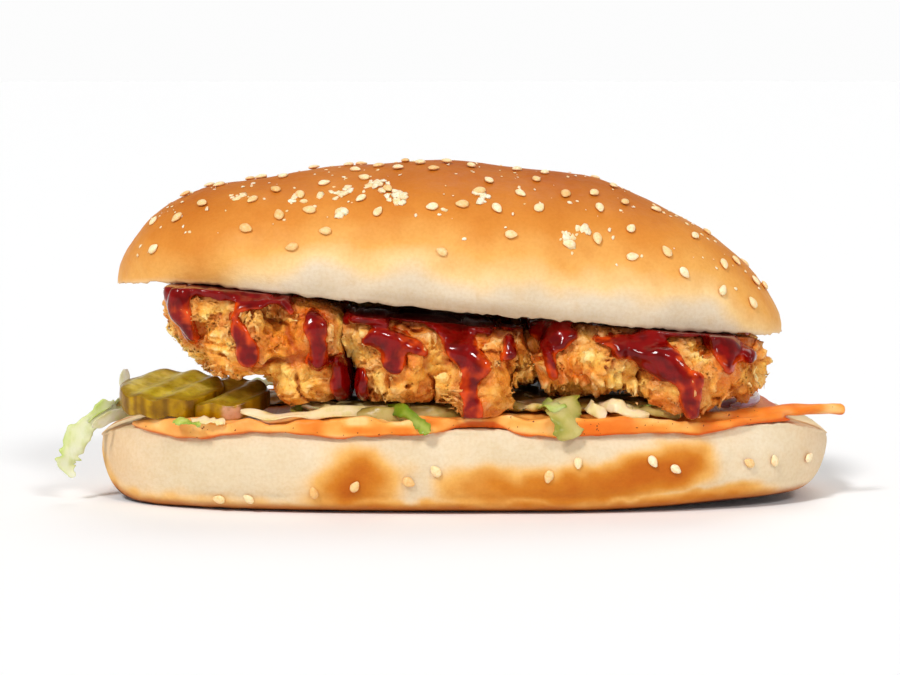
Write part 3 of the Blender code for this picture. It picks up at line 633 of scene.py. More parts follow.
def heel_side(height):
    """Half width at a height from 0 to 1, as a share of the widest: a smooth curve through HEEL_SIDE."""
    widths, heights = (np.array(c, float) for c in zip(*HEEL_SIDE))
    slopes = np.gradient(widths, heights)
    k = np.clip(np.searchsorted(heights, height) - 1, 0, len(heights) - 2)
    step = heights[k + 1] - heights[k]
    t = (height - heights[k]) / step
    return (
        (2 * t**3 - 3 * t**2 + 1) * widths[k]
        + (t**3 - 2 * t**2 + t) * step * slopes[k]
        + (3 * t**2 - 2 * t**3) * widths[k + 1]
        + (t**3 - t**2) * step * slopes[k + 1]
    )


def heel_surface(x, height, side):
    x, height = np.broadcast_arrays(np.asarray(x, float), np.asarray(height, float))
    low, high = heel_bottom(x), heel_top(x)
    y = side * HEEL_HALF_WIDTH * heel_plan(x) * heel_side(height)
    return np.stack([x, y, low + (high - low) * height], axis=-1)


def heel_toast(points):
    """How toasted the side crust is: gold patches low down and a dark bottom edge."""
    x, z, front = points[:, 0], points[:, 2] - heel_bottom(points[:, 0]), points[:, 1] < 0
    wobble = 1.7 * field(points, 9.0, 1.0) + 0.8 * field(points, 3.0, 5.0)
    x = x + 2.2 * field(points, 7.0, 21.0)
    z = z + wobble
    blob = 0.82 * np.exp(-(((x + 21.5) / 8.6) ** 2) - ((z - 8.4) / 6.6) ** 2)
    blob += 0.20 * np.exp(-(((x + 29.0) / 15.0) ** 2) - ((z - 5.0) / 6.5) ** 2)
    middle = 6.2 + 3.4 * ramp(x, 20.0, 50.0)
    band = (0.62 + 0.34 * ramp(x, 8.0, 50.0)) * ramp(x, -14.0, 10.0) * (1.0 - ramp(x, 52.0, 68.0))
    long = band * np.exp(-(((z - middle) / 5.2) ** 2))
    bottom = (0.3 + 0.3 * ramp(x, -40.0, -14.0)) * (1.0 - ramp(x, 66.0, 86.0)) * (1.0 - ramp(z, 1.2, 6.4))
    high = np.interp(x, (-90, -60, -40, -10, 8, 20, 50, 70, 95), (2, 9, 13, 11, 4, 6, 13, 7, 2))
    behind = 0.75 * (1.0 - ramp(z, high - 8.0, high + 2.5))
    ahead = np.maximum(np.maximum(blob, long), bottom)
    return np.where(front, ahead, behind) + 0.06 * field(points, 4.0, 9.0)


def heel_colours(points, top_face):
    x, z = points[:, 0], points[:, 2] - np.minimum(heel_bottom(points[:, 0]), HEEL_RIGHT_LIFT + 0.2)
    pale = shades(0.5 + 0.5 * field(points, 14.0, 3.0), HEEL_PALE)
    rosy = 0.55 * ramp(-x, 62.0, 84.0) + 0.25 * ramp(x, 74.0, 90.0)
    toast = heel_toast(points)
    gold = shades(toast + 0.05 * field(points, 2.2, 8.0), HEEL_GOLD)
    scorched = 1.0 - ramp(z + 0.6 * field(points, 5.0, 2.0), 0.6, 2.8)
    rim = np.interp(x, *SAUCE_FRONT) - points[:, 2] + 0.5 * field(points, 1.6, 31.0)
    stain = ramp(field(points, 7.0, 33.0), -0.2, 0.3) * (1.0 - ramp(rim, -0.3, 0.7))
    colours = layered(
        mixed(layered(pale, ((232, 186, 134), rosy)), gold, ramp(toast, 0.04, 0.4)),
        ((178, 98, 32), 0.9 * scorched),
        ((78, 30, 8), 1.0 - ramp(z + 0.25 * field(points, 3.0), 0.1, 0.8)),
        ((214, 122, 46), 0.7 * stain * (points[:, 1] < 0) * (np.abs(x) < 72.0)),
    )
    crumb = mixed(linear(240, 214, 168), linear(206, 146, 84), ramp(field(points, 5.0), 0.0, 0.8))
    return np.where(top_face[:, None], crumb, colours)


def heel(finish):
    x = HEEL_CENTRE - HEEL_HALF_LENGTH * np.cos(np.linspace(0.0, math.pi, HEEL_RINGS + 2)[1:-1])
    heights = np.linspace(0.0, 1.0, 58) ** 1.2
    front = heel_surface(x[:, None], heights[None], -1)
    back = heel_surface(x[:, None], heights[None, ::-1], 1)
    top, bottom = bridge(front[:, -1], back[:, 0], 16), bridge(back[:, -1], front[:, 0], 16)
    rings = np.concatenate([front, top, back, bottom], axis=1)
    around = rings.shape[1]
    face = np.zeros(around, bool)
    face[front.shape[1] : front.shape[1] + top.shape[1]] = True
    face = np.tile(face, len(x))
    flat = rings.reshape(-1, 3)
    low, high = heel_bottom(flat[:, 0]), heel_top(flat[:, 0])
    share = (flat[:, 2] - low) / (high - low)
    outward = np.stack([flat[:, 0] * 0.02 - 0.03, np.sign(flat[:, 1]), np.zeros(len(flat))], axis=1)
    outward /= np.linalg.norm(outward, axis=1, keepdims=True)
    lumps = 0.30 * field(flat, 9.0, 2.0) + 0.12 * field(flat, 3.0, 7.0) + 0.05 * field(flat, 1.2, 1.0) - 0.25
    flat = flat + outward * (lumps * ramp(share, 0.0, 0.12) * (1.0 - ramp(share, 0.93, 1.0)))[:, None]
    flat[:, 2] += bump(share, 1.0, 0.05) * ~face * (0.3 * field(flat, 1.4, 2.0) - 0.15)
    points, faces = capped(flat.reshape(rings.shape), flip=True)
    tint = heel_colours(points, np.pad(face, around))
    new_piece("bun_heel_crust", "bun_pale", finish, points, faces, tint, "bun_heel")


# Sesame seeds and broken flakes of seed


def crown_point(x, angle):
    return Vector(crown_surface(x, angle).tolist())


def crown_frame(x, angle):
    """A point of the crust and the direction out of it."""
    here = crown_point(x, angle)
    return here, (crown_point(x + 0.5, angle) - here).cross(crown_point(x, angle + 0.02) - here).normalized()


def facing(normal, twist):
    """The turn that lays a shape on a surface with this normal."""
    return np.array(normal.to_track_quat("Z", "Y").to_matrix() @ Matrix.Rotation(twist, 3, "Z"))


def heel_point(x, height, side):
    return Vector(heel_surface(x, height, side).tolist())


def crown_seed_places():
    """Random places on the crust, kept apart, and fewer near the cut: the rule that the solids use."""
    rng = random.Random(11)
    places = []
    while len(places) < CROWN_SEEDS:
        x = rng.uniform(-0.94, 0.94) * CROWN_HALF_LENGTH
        angle = rng.choice((rng.uniform(0.10, 0.90), rng.uniform(0.14, 0.46))) * math.pi
        twist = rng.uniform(0, 2 * math.pi)
        if rng.random() > 0.35 + 0.65 * math.sin(angle):
            continue
        here, normal = crown_frame(x, angle)
        normal = -normal if normal.z < 0 and normal.y * here.y < 0 else normal
        if all((here - other[0]).length > SEED_SPACING for other in places):
            places.append((here, normal, twist))
    return places


def heel_seed_places():
    rng = random.Random(5)
    places = []
    while len(places) < HEEL_SEEDS:
        x = HEEL_CENTRE + rng.uniform(-0.76, 0.93) * HEEL_HALF_LENGTH
        height = 0.17 + 0.36 * float(ramp(x, -34.0, 2.0)) + rng.uniform(-0.06, 0.10)
        side = rng.choice((-1, -1, 1))
        twist = rng.uniform(0, 2 * math.pi)
        here = heel_point(x, height, side)
        along = heel_point(x + 0.5, height, side) - here
        above = heel_point(x, height + 0.05, side) - here
        normal = along.cross(above).normalized() * -side
        if all((here - other[0]).length > SEED_SPACING for other in places):
            places.append((here, normal, twist))
    return places


def seed_shape(columns=14, rows=8):
    """A flattened teardrop of unit size, as rings from its blunt end to its point."""
    t = np.linspace(0.0, math.pi, rows + 2)[1:-1]
    turn = np.linspace(0.0, 2 * math.pi, columns, endpoint=False)
    along = -np.cos(t) * 0.5
    girth = np.sin(t) * 0.5 * (1.0 - 0.34 * ramp(along, -0.1, 0.5))
    ring = np.stack([np.zeros(columns), np.cos(turn), np.sin(turn)], axis=-1)
    rings = ring[None] * girth[:, None, None]
    rings[..., 0] = along[:, None]
    return capped(rings, flip=True)


def seeds(name, slot, places, finish):
    shape, quads = seed_shape()
    rim = np.clip(np.abs(shape[:, 1]) * 1.4, 0.0, 1.0) ** 3
    # Painted shade: the lower half of each seed, towards the crust, is darkened brown.
    low = 1.0 - ramp(shape[:, 2], -0.35, 0.05)
    rng = np.random.default_rng(21)
    parts = []
    for here, normal, twist in places:
        size = np.array((SEED_LENGTH, SEED_WIDTH * rng.uniform(0.88, 1.0), SEED_THICKNESS))
        size = size * rng.uniform(0.86, 1.0)
        points = np.array(here) + np.array(normal) * SEED_SINK + (shape * size) @ facing(normal, twist).T
        tint = shades(rng.uniform(0.0, 1.0), SEED_TINTS)
        edged = mixed(tint, tint * np.array((0.94, 0.82, 0.66)), rim)
        parts.append((points, quads, mixed(edged, tint * np.array((0.72, 0.42, 0.2)), low)))
    new_piece(name, slot, finish, *joined(parts))


def flake_shape():
    """A small blocky ball, as points and quads."""
    rows, columns = 4, 7
    t = np.linspace(0.0, math.pi, rows + 2)[1:-1]
    turn = np.linspace(0.0, 2 * math.pi, columns, endpoint=False)
    ring = np.stack([np.cos(turn), np.sin(turn), np.zeros(columns)], axis=-1)
    rings = ring[None] * np.sin(t)[:, None, None]
    rings[..., 2] = np.cos(t)[:, None]
    return capped(rings)


FLAKE_CLUSTERS = (
    (-17, 1.05, 12, 3.0),
    (-12, 0.86, 12, 2.4),
    (-27, 0.98, 11, 2.8),
    (-25, 0.72, 8, 2.0),
    (-36, 0.92, 6, 2.6),
    (27, 0.56, 7, 1.8),
    (8, 0.86, 6, 2.0),
    (31, 0.72, 5, 1.8),
    (-50, 1.0, 4, 1.6),
)


def flake_places():
    """Places for broken flakes: a thin scatter all over the top, and a few clusters."""
    rng = random.Random(31)
    places = []
    while len(places) < LOOSE_FLAKES:
        x, angle = rng.uniform(-0.93, 0.93) * CROWN_HALF_LENGTH, rng.uniform(0.13, 0.87) * math.pi
        if rng.random() < math.sin(angle) ** 1.5:
            places.append((x, angle, rng.uniform(0.14, 0.52) * rng.uniform(0.6, 1.3)))
    for x, angle, count, reach in FLAKE_CLUSTERS:
        for side in (1, -1):
            turn = angle if side > 0 else math.pi - angle
            for _ in range(count):
                spot = (x * side + rng.gauss(0, reach * 0.5), turn + rng.gauss(0, reach * 0.014))
                places.append((*spot, rng.uniform(0.4, 1.25)))
    return places


def flakes(finish):
    shape, quads = flake_shape()
    rng = np.random.default_rng(32)
    parts = []
    for x, angle, size in flake_places():
        here, normal = crown_frame(x, angle)
        turned = facing(normal, rng.uniform(0, 6.28))
        rough = shape * rng.uniform(0.65, 1.25, (len(shape), 1)) * (np.array((1.2, 0.85, 0.42)) * size)
        points = np.array(here) - np.array(normal) * 0.15 + rough @ turned.T
        parts.append((points, quads, shades(rng.uniform(0.0, 1.0), FLAKE_TINTS)))
    new_piece("bun_crown_flakes", "bun_crust", finish, *joined(parts))


# Burger sauce


def sauce_roof(x):
    thick = ramp(x, -42.0, -33.0) * (1.0 - ramp(x, 50.0, 60.0))
    return heel_top(x) + SAUCE_END_THICKNESS + (SAUCE_THICKNESS - SAUCE_END_THICKNESS) * thick


def smooth_min(a, b, blend):
    h = np.clip(0.5 + 0.5 * (b - a) / blend, 0.0, 1.0)
    return b + (a - b) * h - blend * h * (1.0 - h)


def plan_depth(x, y):
    """Distance inwards from the widest outline of the bottom half, nearly."""
    u, v = np.abs(x - HEEL_CENTRE) / HEEL_HALF_LENGTH, np.abs(y) / HEEL_HALF_WIDTH
    level = u**2.8 + v**2.2
    slope = np.hypot(2.8 * u**1.8 / HEEL_HALF_LENGTH, 2.2 * v**1.2 / HEEL_HALF_WIDTH) + 1e-6
    return (1.0 - level) / np.maximum(slope, 0.02)


# The lower edge of the sauce at the front and at the back, as places along it and their heights
SAUCE_FRONT = (
    (-78, -75, -70, -64, -58, -53, -46, -36, -26, -15, -3, 4, 10, 15, 24, 36, 48, 58, 66, 74, 80),
    (19.5, 18.6, 17.9, 17.0, 17.1, 18.2, 19.0, 18.9, 18.0, 18.6, 19.0)
    + (21.3, 21.3, 19.2, 18.0, 18.8, 19.0, 18.5, 19.6, 20.4, 20.8),
)
SAUCE_BACK = (
    (-80, -60, -48, -40, -32, -14, 4, 20, 35, 46, 60, 80),
    (21, 20.6, 18.6, 17.2, 19.0, 20.8, 19.6, 19.2, 17.2, 19.6, 20.2, 21),
)
SAUCE_TINTS = ((0.0, (232, 134, 46)), (0.4, (242, 162, 72)), (0.8, (247, 182, 98)), (1.0, (250, 200, 130)))
# The middle line of the tongue of sauce, each point with the half width there
TONGUE = (
    (58, -23.5, 21.3, 2.6),
    (66, -22.5, 21.6, 2.9),
    (72, -21.5, 22.1, 2.9),
    (79, -19.2, 22.7, 2.7),
    (86, -16.3, 22.4, 1.9),
    (91, -14.5, 22.3, 1.4),
    (93.2, -13.6, 22.0, 1.1),
)
TONGUE_HALF_HEIGHT = 1.25


def tongue_distance(points):
    """Signed distance to the flat ribbon of sauce that sticks out at the right end, nearly."""
    near = np.full(len(points), 99.0)
    path = np.array(TONGUE, float)
    for (*a, wide), (*b, narrow) in zip(path[:-1], path[1:]):
        step = np.subtract(b, a)
        t = np.clip(((points - np.array(a)) @ step) / (step @ step), 0.0, 1.0)
        apart = points - (a + t[:, None] * step)
        width = wide * (1.0 - t) + narrow * t
        fold = 0.5 * np.sin(0.55 * points[:, 0] + 0.6) * apart[:, 1] / width
        level = np.hypot(apart[:, 0], apart[:, 1]) / width
        flat = np.hypot(level, (apart[:, 2] - fold) / TONGUE_HALF_HEIGHT)
        near = np.minimum(near, (flat - 1.0) * TONGUE_HALF_HEIGHT)
    return near


def sauce_distance(points):
    x, y, z = points.T
    depth = plan_depth(x, y)
    front = y < 0
    wobble = 0.5 * field(points, 6.0, 2.0)
    low = np.where(front, np.interp(x, *SAUCE_FRONT), np.interp(x, *SAUCE_BACK))
    low = low + 0.35 * field(points * np.array((1, 0, 0)), 3.5, 6.0)
    swell = 0.9 * field(points * np.array((1.0, 0.6, 0.0)), 6.5, 4.0) + 0.3 * field(points, 2.2, 1.0)
    loose = 1.0 - ramp(y, -30.0, -25.0) * ramp(-y, -30.0, -25.0)
    floor, roof = heel_top(x) + 0.3, sauce_roof(x) + 0.1 + swell * loose
    roof = roof + 1.2 * ramp(-x, 42.0, 50.0) * (1.0 - ramp(-x, 72.0, 77.0)) * ramp(-y, 21.0, 27.0)
    notch = 3.4 * bump(x, 6.5, 7.5) * front
    start = np.where(front, 1.0, 1.9) + notch + 0.5 * wobble
    slab = np.maximum(np.abs(z - (floor + roof) / 2) - (roof - floor) / 2, start - depth)
    ends = np.maximum(-76.5 - x, x - 82.0) + 1.2 * field(points * np.array((0.0, 1.0, 0.0)), 7.0, 8.0)
    slab = -smooth_min(-slab, -ends, 5.0)
    radius = 0.85 + 0.35 * field(points * np.array((1, 0, 0)), 4.0, 3.0)
    hang = ramp(floor - low, -0.4, 0.9)
    seat = np.where(front, 0.8, 0.9) + 0.55 * (1.0 - hang) + notch + 0.25 * wobble
    nearest = np.clip(z, low + radius, np.maximum(low + radius, roof - 0.5))
    lip = np.hypot(depth - seat, z - nearest) - radius * (0.35 + 0.65 * hang)
    lip = np.maximum(lip, np.maximum(-75.0 - x, x - 78.0))
    total = smooth_min(slab, lip, 0.9)
    return smooth_min(total, tongue_distance(points), 0.9)


def sauce(finish):
    step = 0.42
    across, up = np.arange(-38.6, 38.6, step * 1.1), np.arange(15.6, 25.0, step * 0.8)
    axes = (np.arange(-79.0, 96.5, step), across, up)
    values = np.concatenate([sauce_distance(part) for part in np.array_split(grid_points(axes), 24)])
    points, faces = fewer(*surface_net(axes, values.reshape([len(a) for a in axes])), SAUCE_TRIANGLES)
    x = points[:, 0]
    streak = 0.5 + 0.8 * field(points * np.array((0.6, 1.0, 1.6)), 3.2, 9.0)
    oily = ramp(x, 18.0, 34.0) * (1.0 - ramp(x, 66.0, 76.0)) * ramp(field(points, 4.0, 12.0), -0.3, 0.3)
    tint = layered(
        shades(streak, SAUCE_TINTS),
        ((226, 106, 24), 0.6 * oily),
        ((252, 190, 112), 0.5 * ramp(-x, 30.0, 50.0)),
        ((230, 118, 30), 0.65 * ramp(x, 62.0, 72.0) * (1.0 - ramp(x, 84.0, 92.0))),
        ((214, 84, 8), 0.85 * (1.0 - ramp(points[:, 2] - np.interp(x, *SAUCE_FRONT), 0.1, 0.9))),
    )
    new_piece("sauce_spread", "burger_sauce", finish, points, faces, tint, "burger_sauce")


# Lettuce, onion


def curve(path, t):
    """Points on the smooth curve through the path, at t from 0 to the last point's number."""
    path = np.asarray(path, float)
    k = np.minimum(len(path) - 2, t.astype(int))
    f = (t - k)[:, None]
    a, b = path[np.maximum(0, k - 1)], path[k]
    c, d = path[k + 1], path[np.minimum(len(path) - 1, k + 2)]
    return 0.5 * ((2 * b) + (c - a) * f + (2 * a - 5 * b + 4 * c - d) * f**2 + (3 * b - a - 3 * c + d) * f**3)


def strip_frames(path, count):
    """Centres, level side directions and face directions along the smooth curve through the path."""
    t = np.linspace(0.0, len(path) - 1.0, count)
    centres = curve(path, t)
    along = np.gradient(centres, axis=0)
    along /= np.linalg.norm(along, axis=1, keepdims=True)
    sides = np.zeros_like(along)
    side = np.cross(along[0], (0.0, 0.0, 1.0))
    for k, forward in enumerate(along):
        side = side - forward * (side @ forward)
        side /= np.linalg.norm(side)
        sides[k] = side
    return centres, sides, np.cross(along, sides)


def shred_mesh(
    path, width, lean, seed, thickness=0.5, ruffle=0.5, ends=(0.45, 0.45), jagged=0.0, cup=0.0, grid=(64, 11)
):
    """A ruffled strip of leaf as closed points and faces, with each point's place along and across it."""
    rng = np.random.default_rng(seed)
    count, across = grid
    centres, sides, ups = strip_frames(path, count)
    u, v = np.linspace(0.0, 1.0, count), np.linspace(-1.0, 1.0, across)
    turn = (lean + 0.25 * np.sin(5.0 * u + rng.uniform(0, 6)))[:, None]
    side, up = sides * np.cos(turn) + ups * np.sin(turn), ups * np.cos(turn) - sides * np.sin(turn)
    taper = np.minimum(1.0, np.minimum(ends[0] + u * 4.0, ends[1] + (1.0 - u) * 4.0))
    left = taper * (1.0 + jagged * field(np.stack([u * 40, u * 0 + seed, u * 0], 1), 2.0))
    right = taper * (1.0 + jagged * field(np.stack([u * 40, u * 0, u * 0 + seed], 1), 2.0, 3.0))
    reach = np.where(v < 0, left[:, None], right[:, None]) * v * width / 2
    phase, along, out = rng.uniform(0, 6.28, 3), u[:, None], np.abs(v)
    wave = np.sin(9.0 * along + phase[0] + 1.5 * v) + 0.6 * np.sin(21.0 * along + phase[1]) * out
    lift = ruffle * wave * (0.35 + 0.65 * out) + cup * (v**2 - 0.4)
    half = thickness / 2 * (1.0 - 0.55 * out**3) * np.minimum(1.0, 0.4 + 0.6 * taper[:, None])
    middle = centres[:, None] + side[:, None] * reach[..., None] + up[:, None] * lift[..., None]
    raised = up[:, None] * half[..., None]
    points, faces = capped(np.concatenate([middle + raised, (middle - raised)[:, ::-1]], axis=1))
    ring_v = np.concatenate([v, v[::-1]])
    return points, faces, np.repeat(np.pad(u, 1, "edge"), len(ring_v)), np.tile(ring_v, count + 2)


LEAF_PALE = ((0.0, (220, 222, 194)), (0.6, (212, 216, 166)), (1.0, (180, 198, 108)))
LEAF_WHITE = ((0.0, (228, 224, 208)), (0.7, (222, 216, 188)), (1.0, (206, 196, 148)))
LEAF_GREEN = ((0.0, (206, 214, 138)), (0.5, (178, 196, 94)), (1.0, (140, 168, 62)))
LEAF_CREAM = ((0.0, (252, 230, 184)), (0.6, (248, 222, 164)), (1.0, (232, 206, 134)))
LEAF_BRIGHT = ((0.0, (178, 190, 90)), (0.5, (126, 150, 34)), (1.0, (84, 116, 14)))
LEAF_FOLD = ((0.0, (206, 196, 126)), (0.5, (184, 172, 92)), (1.0, (134, 138, 48)))
# Lettuce of the bed under the chicken, from cream down to a warm brown that is partly painted shade
LEAF_DEEP = ((0.0, (150, 116, 40)), (0.5, (206, 176, 92)), (1.0, (234, 212, 150)))
LEAF_OLIVE = ((0.0, (206, 186, 120)), (0.6, (176, 150, 78)), (1.0, (140, 116, 48)))

# Each: path, width, lean, colours, and what else the shred needs
SHREDS = (
    # Hanging from the left end, past the bun
    (((-56, 8, 21.8), (-68, 5, 22), (-78, -5.6, 22.4), (-82.4, -11, 21.8),
     (-86.5, -13.5, 18.9)), 3.6, 0.9, LEAF_PALE, {}),
    (((-80, -11, 22.7), (-84.5, -13, 20.2), (-88.4, -14.5, 16.4), (-90.6, -15, 11.6), (-91.2, -15, 8.6),
     (-89.8, -15, 5.8)), 4.9, 1.5, LEAF_PALE, {"ends": (0.7, 0.12), "jagged": 0.35, "ruffle": 0.3}),
    # Pale pieces on the left end, one of them upright
    (((-70, 0, 21.4), (-76, -8, 21), (-80.5, -15, 20.4), (-84.8, -18, 18.6)), 3.6, 0.9, LEAF_WHITE,
     {"ruffle": 0.25}),
    (((-68, 3, 22), (-76, -1.5, 23.2), (-78.8, -3, 26.2), (-78.6, -3, 30.4)), 2.4, 1.35, LEAF_WHITE,
     {"ruffle": 0.2}),
    (((-70, 3, 22.6), (-76, -6, 23.2), (-80.5, -9, 22.4)), 2, 0.4, LEAF_OLIVE, {"ruffle": 0.2}),
    # Long pale shred in front, under the left chicken, with an olive leaf below it
    (((-48.5, -31, 24), (-42, -31.5, 22.9), (-34, -31.2, 23), (-26, -30.6, 23.7),
     (-8, -27.5, 24.4)), 3.2, 0.6, LEAF_CREAM, {"ends": (0.1, 0.6)}),
    (((-30, -28.5, 23), (-20, -30.8, 22.9), (-12, -31.2, 22.6), (-2, -30, 23.2),
     (3, -27, 23.6)), 4.4, 0.9, LEAF_OLIVE, {}),
    (((-15, -27, 24.4), (-10.5, -34.2, 24.2), (-7, -37.3, 21.8), (-4.6, -37.4, 19.9)), 3, 1.2,
     LEAF_BRIGHT, {"ruffle": 0.35, "jagged": 0.2, "thickness": 0.4, "ends": (0.3, 0.35)}),
    # Leaf folded over the rim in the middle
    (((25.5, -18, 24.6), (25.5, -27, 25.8), (25.8, -32.5, 26), (26.4, -35.8, 23.8), (27.4, -37, 20.6),
     (28.2, -37, 18.4)), 7.8, 0.05, LEAF_FOLD, {"ruffle": 0.6, "cup": 0.7, "jagged": 0.2,
     "thickness": 0.35}),
    (((21.5, -24, 24.6), (22.6, -31, 25.6), (24.6, -34.6, 25.2), (26.8, -35.4, 23.4)), 3.6, 0.5,
     LEAF_GREEN, {"ruffle": 0.4, "thickness": 0.35}),
    (((33, -24, 24), (32, -31, 25.4), (33, -34.6, 24.8), (36, -34.6, 23.4)), 2.8, 0.9, LEAF_CREAM,
     {"ruffle": 0.3, "thickness": 0.35}),
    # Curled leaves under the right chicken
    (((35, -20, 24.4), (36.2, -28.5, 25.2), (38.2, -31.6, 25.6), (41.5, -31.8, 24),
     (46, -30.8, 22.8)), 3.6, 0.5, LEAF_CREAM, {"cup": 0.6}),
    (((40, -22, 24), (44, -28, 24), (49, -29.5, 23.6), (54, -28.5, 23)), 3, 0.6, LEAF_OLIVE, {}),
    # Along the back
    (((-56, 16, 22.2), (-50, 28.5, 22.8), (-46, 33.2, 22.9), (-43, 37.4, 21.2)), 5, 0.2, LEAF_PALE, {}),
    (((-22, 20, 24), (-16, 29.5, 24.6), (-8, 31, 24.6), (2, 27, 24.2)), 4.4, 0.5, LEAF_GREEN, {}),
    (((14, 20, 24.4), (18, 29, 25.2), (20, 34.2, 24.2), (21, 37, 20.4)), 6.5, 0.05, LEAF_PALE, {}),
    (((42, 18, 24.4), (46, 27.5, 24.4), (53, 29.5, 23.8), (58, 26, 23.4)), 4, 0.4, LEAF_WHITE, {}),
    # Small bits on the sauce at the left
    (((-64, -29.5, 21.6), (-61, -32.2, 21.6), (-57.5, -33.2, 21)), 2.2, 0.4, LEAF_GREEN, {"ruffle": 0.3,
     "jagged": 0.3}),
    (((-60, -28.5, 21.6), (-56, -31.4, 21.8), (-52, -31.6, 21.4)), 2.4, 0.3, LEAF_CREAM, {"ruffle": 0.3,
     "jagged": 0.3}),
)


def bed_shreds():
    """Loose shreds that fill the low bed under the chicken."""
    rng = random.Random(41)
    found = []
    for _ in range(BED_SHREDS):
        x = rng.uniform(LETTUCE_BED_START, LETTUCE_BED_END - 4)
        y = rng.uniform(6, 25) if x < -36 else rng.uniform(-25, 25)
        heading, turn = rng.uniform(0, math.pi), rng.uniform(-0.8, 0.8)
        reach = rng.uniform(5.0, 11.0)
        path = []
        for step in (-1, -0.33, 0.33, 1):
            h = heading + turn * step
            px, py = x + reach * step * math.cos(h), y + reach * step * math.sin(h)
            px = min(max(px, LETTUCE_BED_START), LETTUCE_BED_END)
            edge = 28.6 * float(heel_plan(px))
            front = 2.5 if px < -38 else -edge
            py = min(max(py, front), edge)
            roof = float(sauce_roof(px))
            path.append((px, py, rng.uniform(roof + 0.9, roof + (2.6 if px > -36 else 1.5))))
        width, lean = rng.uniform(1.8, 3.6), rng.uniform(-0.4, 0.4)
        colours = rng.choice((LEAF_PALE, LEAF_CREAM, LEAF_CREAM, LEAF_GREEN))
        found.append((path, width, lean, colours, {"ruffle": 0.25, "grid": (26, 7)}))
    return found


def bed_core():
    """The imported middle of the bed, which at the left lies only behind the pickle."""
    x = np.linspace(LETTUCE_BED_START, LETTUCE_BED_END, 100)
    back = 27.5 * np.minimum(1.0, heel_plan(x) * 1.02) + np.sin(1.7 * x)
    front = 1.5 - (back + 1.0) * ramp(x, -40.0, -32.0)
    floor, roof = sauce_roof(x) + GAP, lettuce_roof(x) - 0.3
    turn = np.linspace(0.0, 2 * math.pi, 80, endpoint=False)
    across = np.sign(np.cos(turn)) * np.abs(np.cos(turn)) ** 0.35
    up = np.sign(np.sin(turn)) * np.abs(np.sin(turn)) ** 0.6
    y = ((front + back) / 2)[:, None] + across * ((back - front) / 2)[:, None]
    z = ((floor + roof) / 2)[:, None] + up * ((roof - floor) / 2)[:, None]
    rings = np.stack([np.broadcast_to(x[:, None], y.shape), y, z], axis=-1)
    rings[..., 2] += 0.7 * field(rings.reshape(-1, 3), 2.4, 3.0).reshape(y.shape) * (up > 0)
    rings[..., 1] += 0.8 * field(rings.reshape(-1, 3), 2.0, 5.0).reshape(y.shape)
    points, faces = capped(rings)
    # Mottled from cream to warm brown; the brown is partly painted shade under the chicken.
    shade = 0.5 + 0.8 * field(points * np.array((1.0, 1.0, 0.4)), 2.6, 8.0)
    return points, faces, shades(shade, LEAF_DEEP)


def lettuce(finish):
    parts = [bed_core()]
    for seed, (path, width, lean, stops, more) in enumerate([*SHREDS, *bed_shreds()], 3):
        points, faces, u, v = shred_mesh(path, width, lean, seed, **more)
        shade = 0.25 + 0.55 * np.abs(v) ** 1.5 + 0.45 * field(points, 3.0, 1.0) + 0.2 * ramp(u, 0.5, 1.0)
        parts.append((points, faces, shades(shade, stops)))
    new_piece("lettuce_shreds", "lettuce", finish, *joined(parts), "lettuce")


def onion(part, radius, start, end, height, finish):
    """A strip cut from an onion ring, white inside with a purple skin."""
    count, columns = 60, 16
    turn = np.radians(np.linspace(start, end, count))[:, None]
    ends = np.clip(np.minimum(np.linspace(0.25, 6, count), np.linspace(6, 0.25, count)), 0.0, 1.0)[:, None]
    around = np.linspace(0.0, 2 * math.pi, columns, endpoint=False)
    radial = radius + np.cos(around) * ONION_WIDTH / 2 * ends + 0.25 * np.sin(3.0 * turn)
    rise = height * 0.5 + np.sin(around) * height * 0.48 * ends
    x, y, z = ONION_CENTRE
    rings = np.stack([x + radial * np.cos(turn), y + radial * np.sin(turn), z + rise], axis=-1)
    points, faces = capped(rings, flip=True)
    skin = 0.8 * ramp(np.cos(np.tile(around, count + 2)), 0.2, 0.95)
    flesh = shades(0.5 + 0.5 * field(points, 2.5), ((0.0, (226, 206, 204)), (1.0, (246, 236, 230))))
    tint = layered(flesh, ((142, 92, 132), skin))
    new_piece(f"onion_strip_{part}", "onion", finish, points, faces, tint, f"onion_{part}")


# Crinkle-cut pickle slices


def ridges(x, y):
    turn = math.radians(PICKLE_RIDGE_TURN)
    across = x * math.cos(turn) - y * math.sin(turn)
    return 0.65 * PICKLE_RIDGE_HEIGHT * np.cos(2 * math.pi * across / PICKLE_RIDGE_PITCH + 0.6)


def second_pickle_reach(angle):
    """A round slice that stops short of the first one where they meet, measured from its middle."""
    along = np.stack([np.cos(angle), np.sin(angle)], axis=-1)
    to_own = np.array(SECOND_PICKLE_CENTRE[:2]) - np.array(SECOND_PICKLE_MIDDLE[:2])
    ahead = along @ to_own
    reach = ahead + np.sqrt(ahead**2 - to_own @ to_own + SECOND_PICKLE_RADIUS**2)
    to_first = np.array(PICKLE_CENTRE[:2]) - np.array(SECOND_PICKLE_MIDDLE[:2])
    ahead = along @ to_first
    inside = ahead**2 - to_first @ to_first + (PICKLE_RADIUS + 0.2) ** 2
    meets = (ahead > 0) & (inside > 0)
    return np.where(meets, np.minimum(reach, ahead - np.sqrt(np.maximum(inside, 0.0))), reach)


